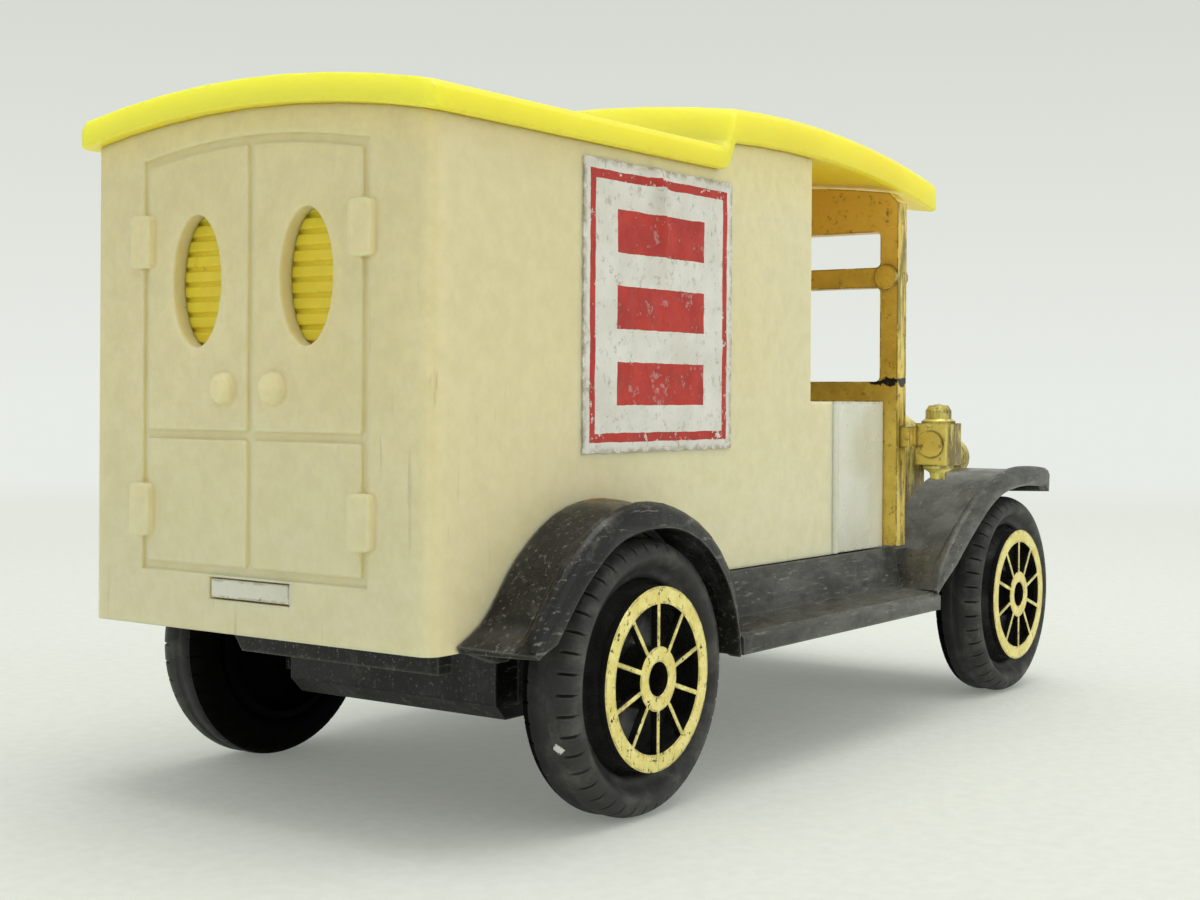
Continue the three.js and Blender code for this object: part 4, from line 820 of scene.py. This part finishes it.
# The radiator shell stays sharp, because its small joints leave no room for rounding
soften("van_box", CREAM, 0.2, 3)
soften("roof", YELLOW, 0.4, 4, 24)
soften("rear_blind", BLIND, 0.12, 2)
soften("body_casting", WHITE, 0.1, 3, merge=0.08)
soften("windscreen_frame", GOLD, 0.14, 2)
soften("radiator_shell", GOLD, 0.0)
soften("chassis", BLACK, 0.14, 3, 40, merge=0.03)
soften("base_plate", DARK, 0.2, 3)
soften("bench_seat", SEAT, 0.3, 3)
soften("steering_wheel", SEAT, 0.08, 2)
for name in ("front_axle", "rear_axle", "base_screw_front", "base_screw_rear"):
    soften(name, STEEL, 0.08, 2)
for end in ("front", "rear"):
    for side_name in ("left", "right"):
        tyre(f"tyre_{end}_{side_name}")
        wheel(f"wheel_{end}_{side_name}")
for side_name in ("left", "right"):
    label(f"label_{side_name}")


# Stage, light and camera


HORIZON = srgb(232, 236, 230)
ZENITH = srgb(212, 216, 208)
FLOOR_RADIUS = 2.5
FLOOR_SHADE = srgb(224, 227, 217)
FLOOR_GLOW = 0.22
DIM_SIDE = (-0.86, 0.5, 0.1)
DIM_SHADE = srgb(84, 86, 82)
FLOOR_SIDES = 64
FLOOR_NEAR = 90.0
FLOOR_FAR = 420.0
FRAME_WIDTH = 1200
FOCAL_PIXELS = 1722.6
SHIFT_PIXELS = -50
SENSOR_WIDTH = 36
CAMERA_PLACE = (-68.25 + ORIGIN_X, -72.99, 24.78)


def backdrop():
    """A pale floor that fades, far from the van, into the background's colour."""
    look = Look("stage", Roughness=0.9)
    grain = look.noise(0.9, 4)
    look.colour(look.mix(look.fit(grain, 0.3, 0.7), srgb(226, 229, 219), srgb(220, 223, 213)))
    look.bump((look.noise(1.4, 4), 0.05))
    seen = look.seen()
    far = look.node("ShaderNodeVectorMath", operation="LENGTH")
    look.link(look.place, far.inputs[0])
    away = look.fit(far.outputs["Value"], FLOOR_NEAR, FLOOR_FAR, FLOOR_GLOW, 1.0)
    glow = look.node("ShaderNodeEmission")
    fading = look.fit(far.outputs["Value"], FLOOR_NEAR, FLOOR_FAR)
    look.feed(glow.inputs[0], look.mix(fading, FLOOR_SHADE, HORIZON))
    blend = look.node("ShaderNodeMixShader")
    look.link(look.math("MULTIPLY", seen, away), blend.inputs[0])
    look.link(look.shader.outputs[0], blend.inputs[1])
    look.link(glow.outputs[0], blend.inputs[2])
    look.link(blend.outputs[0], look.tree.nodes["Material Output"].inputs["Surface"])
    bm = bmesh.new()
    turns = [2 * pi * i / FLOOR_SIDES for i in range(FLOOR_SIDES)]
    rings = [[bm.verts.new((r * cos(turn), r * sin(turn), 0)) for turn in turns]
             for r in (0.1, 0.3, 0.8, FLOOR_RADIUS)]
    bm.faces.new(rings[0])
    for inner, outer in zip(rings, rings[1:]):
        for i in range(FLOOR_SIDES):
            k = (i + 1) % FLOOR_SIDES
            bm.faces.new((inner[i], outer[i], outer[k], inner[k]))
    made = link("stage", mesh_from(bm, "stage", [look.material]))


def surroundings(strength):
    """Even light from all round, seen by the camera as a pale background."""
    world = bpy.data.worlds.new("world")
    SCENE.world = world
    world.use_nodes = True
    tree = world.node_tree
    light = tree.nodes["Background"]
    light.inputs[0].default_value = (*srgb(246, 248, 248), 1)
    light.inputs[1].default_value = strength
    shown = tree.nodes.new("ShaderNodeBackground")
    paths = tree.nodes.new("ShaderNodeLightPath")
    seen = paths.outputs["Is Camera Ray"]
    for name in ("Is Glossy Ray", "Is Transmission Ray"):
        either = tree.nodes.new("ShaderNodeMath")
        either.operation = "MAXIMUM"
        tree.links.new(seen, either.inputs[0])
        tree.links.new(paths.outputs[name], either.inputs[1])
        seen = either.outputs[0]
    coords = tree.nodes.new("ShaderNodeTexCoord")
    split = tree.nodes.new("ShaderNodeSeparateXYZ")
    tree.links.new(coords.outputs["Generated"], split.inputs[0])
    ramp = tree.nodes.new("ShaderNodeValToRGB")
    ramp.color_ramp.elements[0].color = (*HORIZON, 1)
    ramp.color_ramp.elements[1].color = (*ZENITH, 1)
    ramp.color_ramp.elements[1].position = 0.24
    tree.links.new(split.outputs[2], ramp.inputs[0])
    side = tree.nodes.new("ShaderNodeVectorMath")
    side.operation = "DOT_PRODUCT"
    side.inputs[1].default_value = DIM_SIDE
    tree.links.new(coords.outputs["Generated"], side.inputs[0])
    fade = tree.nodes.new("ShaderNodeMapRange")
    fade.interpolation_type = "SMOOTHSTEP"
    fade.inputs["From Min"].default_value = -0.2
    fade.inputs["From Max"].default_value = 0.7
    tree.links.new(side.outputs["Value"], fade.inputs["Value"])
    mirrored = tree.nodes.new("ShaderNodeMath")
    mirrored.operation = "MULTIPLY"
    tree.links.new(fade.outputs[0], mirrored.inputs[0])
    tree.links.new(paths.outputs["Is Glossy Ray"], mirrored.inputs[1])
    dim = tree.nodes.new("ShaderNodeMixRGB")
    dim.inputs["Color2"].default_value = (*DIM_SHADE, 1)
    tree.links.new(mirrored.outputs[0], dim.inputs["Fac"])
    tree.links.new(ramp.outputs[0], dim.inputs["Color1"])
    tree.links.new(dim.outputs[0], shown.inputs[0])
    blend = tree.nodes.new("ShaderNodeMixShader")
    tree.links.new(seen, blend.inputs[0])
    tree.links.new(light.outputs[0], blend.inputs[1])
    tree.links.new(shown.outputs[0], blend.inputs[2])
    tree.links.new(blend.outputs[0], tree.nodes["World Output"].inputs["Surface"])


def lamp(name, place, aim, size, power):
    data = bpy.data.lights.new(name, "AREA")
    data.shape = "DISK"
    data.size = size
    data.energy = power
    made = link(name, data)
    made.location = place
    made.rotation_euler = (Vector(aim) - Vector(place)).to_track_quat("-Z", "Y").to_euler()


def camera():
    """The photograph's view, with the lens shift that its framing needs."""
    yaw, pitch, roll = radians(35.405), radians(0.123), radians(0.357)
    ahead = Vector((cos(yaw) * cos(pitch), sin(yaw) * cos(pitch), -sin(pitch)))
    across = Vector((sin(yaw), -cos(yaw), 0))
    above = across.cross(ahead)
    right = cos(roll) * across + sin(roll) * above
    top = cos(roll) * above - sin(roll) * across
    data = bpy.data.cameras.new("camera")
    made = link("camera", data)
    turn = Matrix((right, top, -ahead)).transposed().to_4x4()
    turn.translation = Vector(CAMERA_PLACE) * MM
    made.matrix_world = turn
    data.sensor_width = SENSOR_WIDTH
    data.lens = SENSOR_WIDTH * FOCAL_PIXELS / FRAME_WIDTH
    data.shift_y = SHIFT_PIXELS / FRAME_WIDTH
    data.clip_start = 0.001
    data.clip_end = 10
    SCENE.camera = made


surroundings(0.83)
backdrop()
lamp("overhead", (0.02, -0.06, 0.55), (0, 0, 0), 0.45, 1.3)
lamp("right_side", (0.1, -0.6, 0.3), (0, 0, 0.02), 0.5, 0.42)
camera()
SCENE.view_settings.view_transform = "Standard"
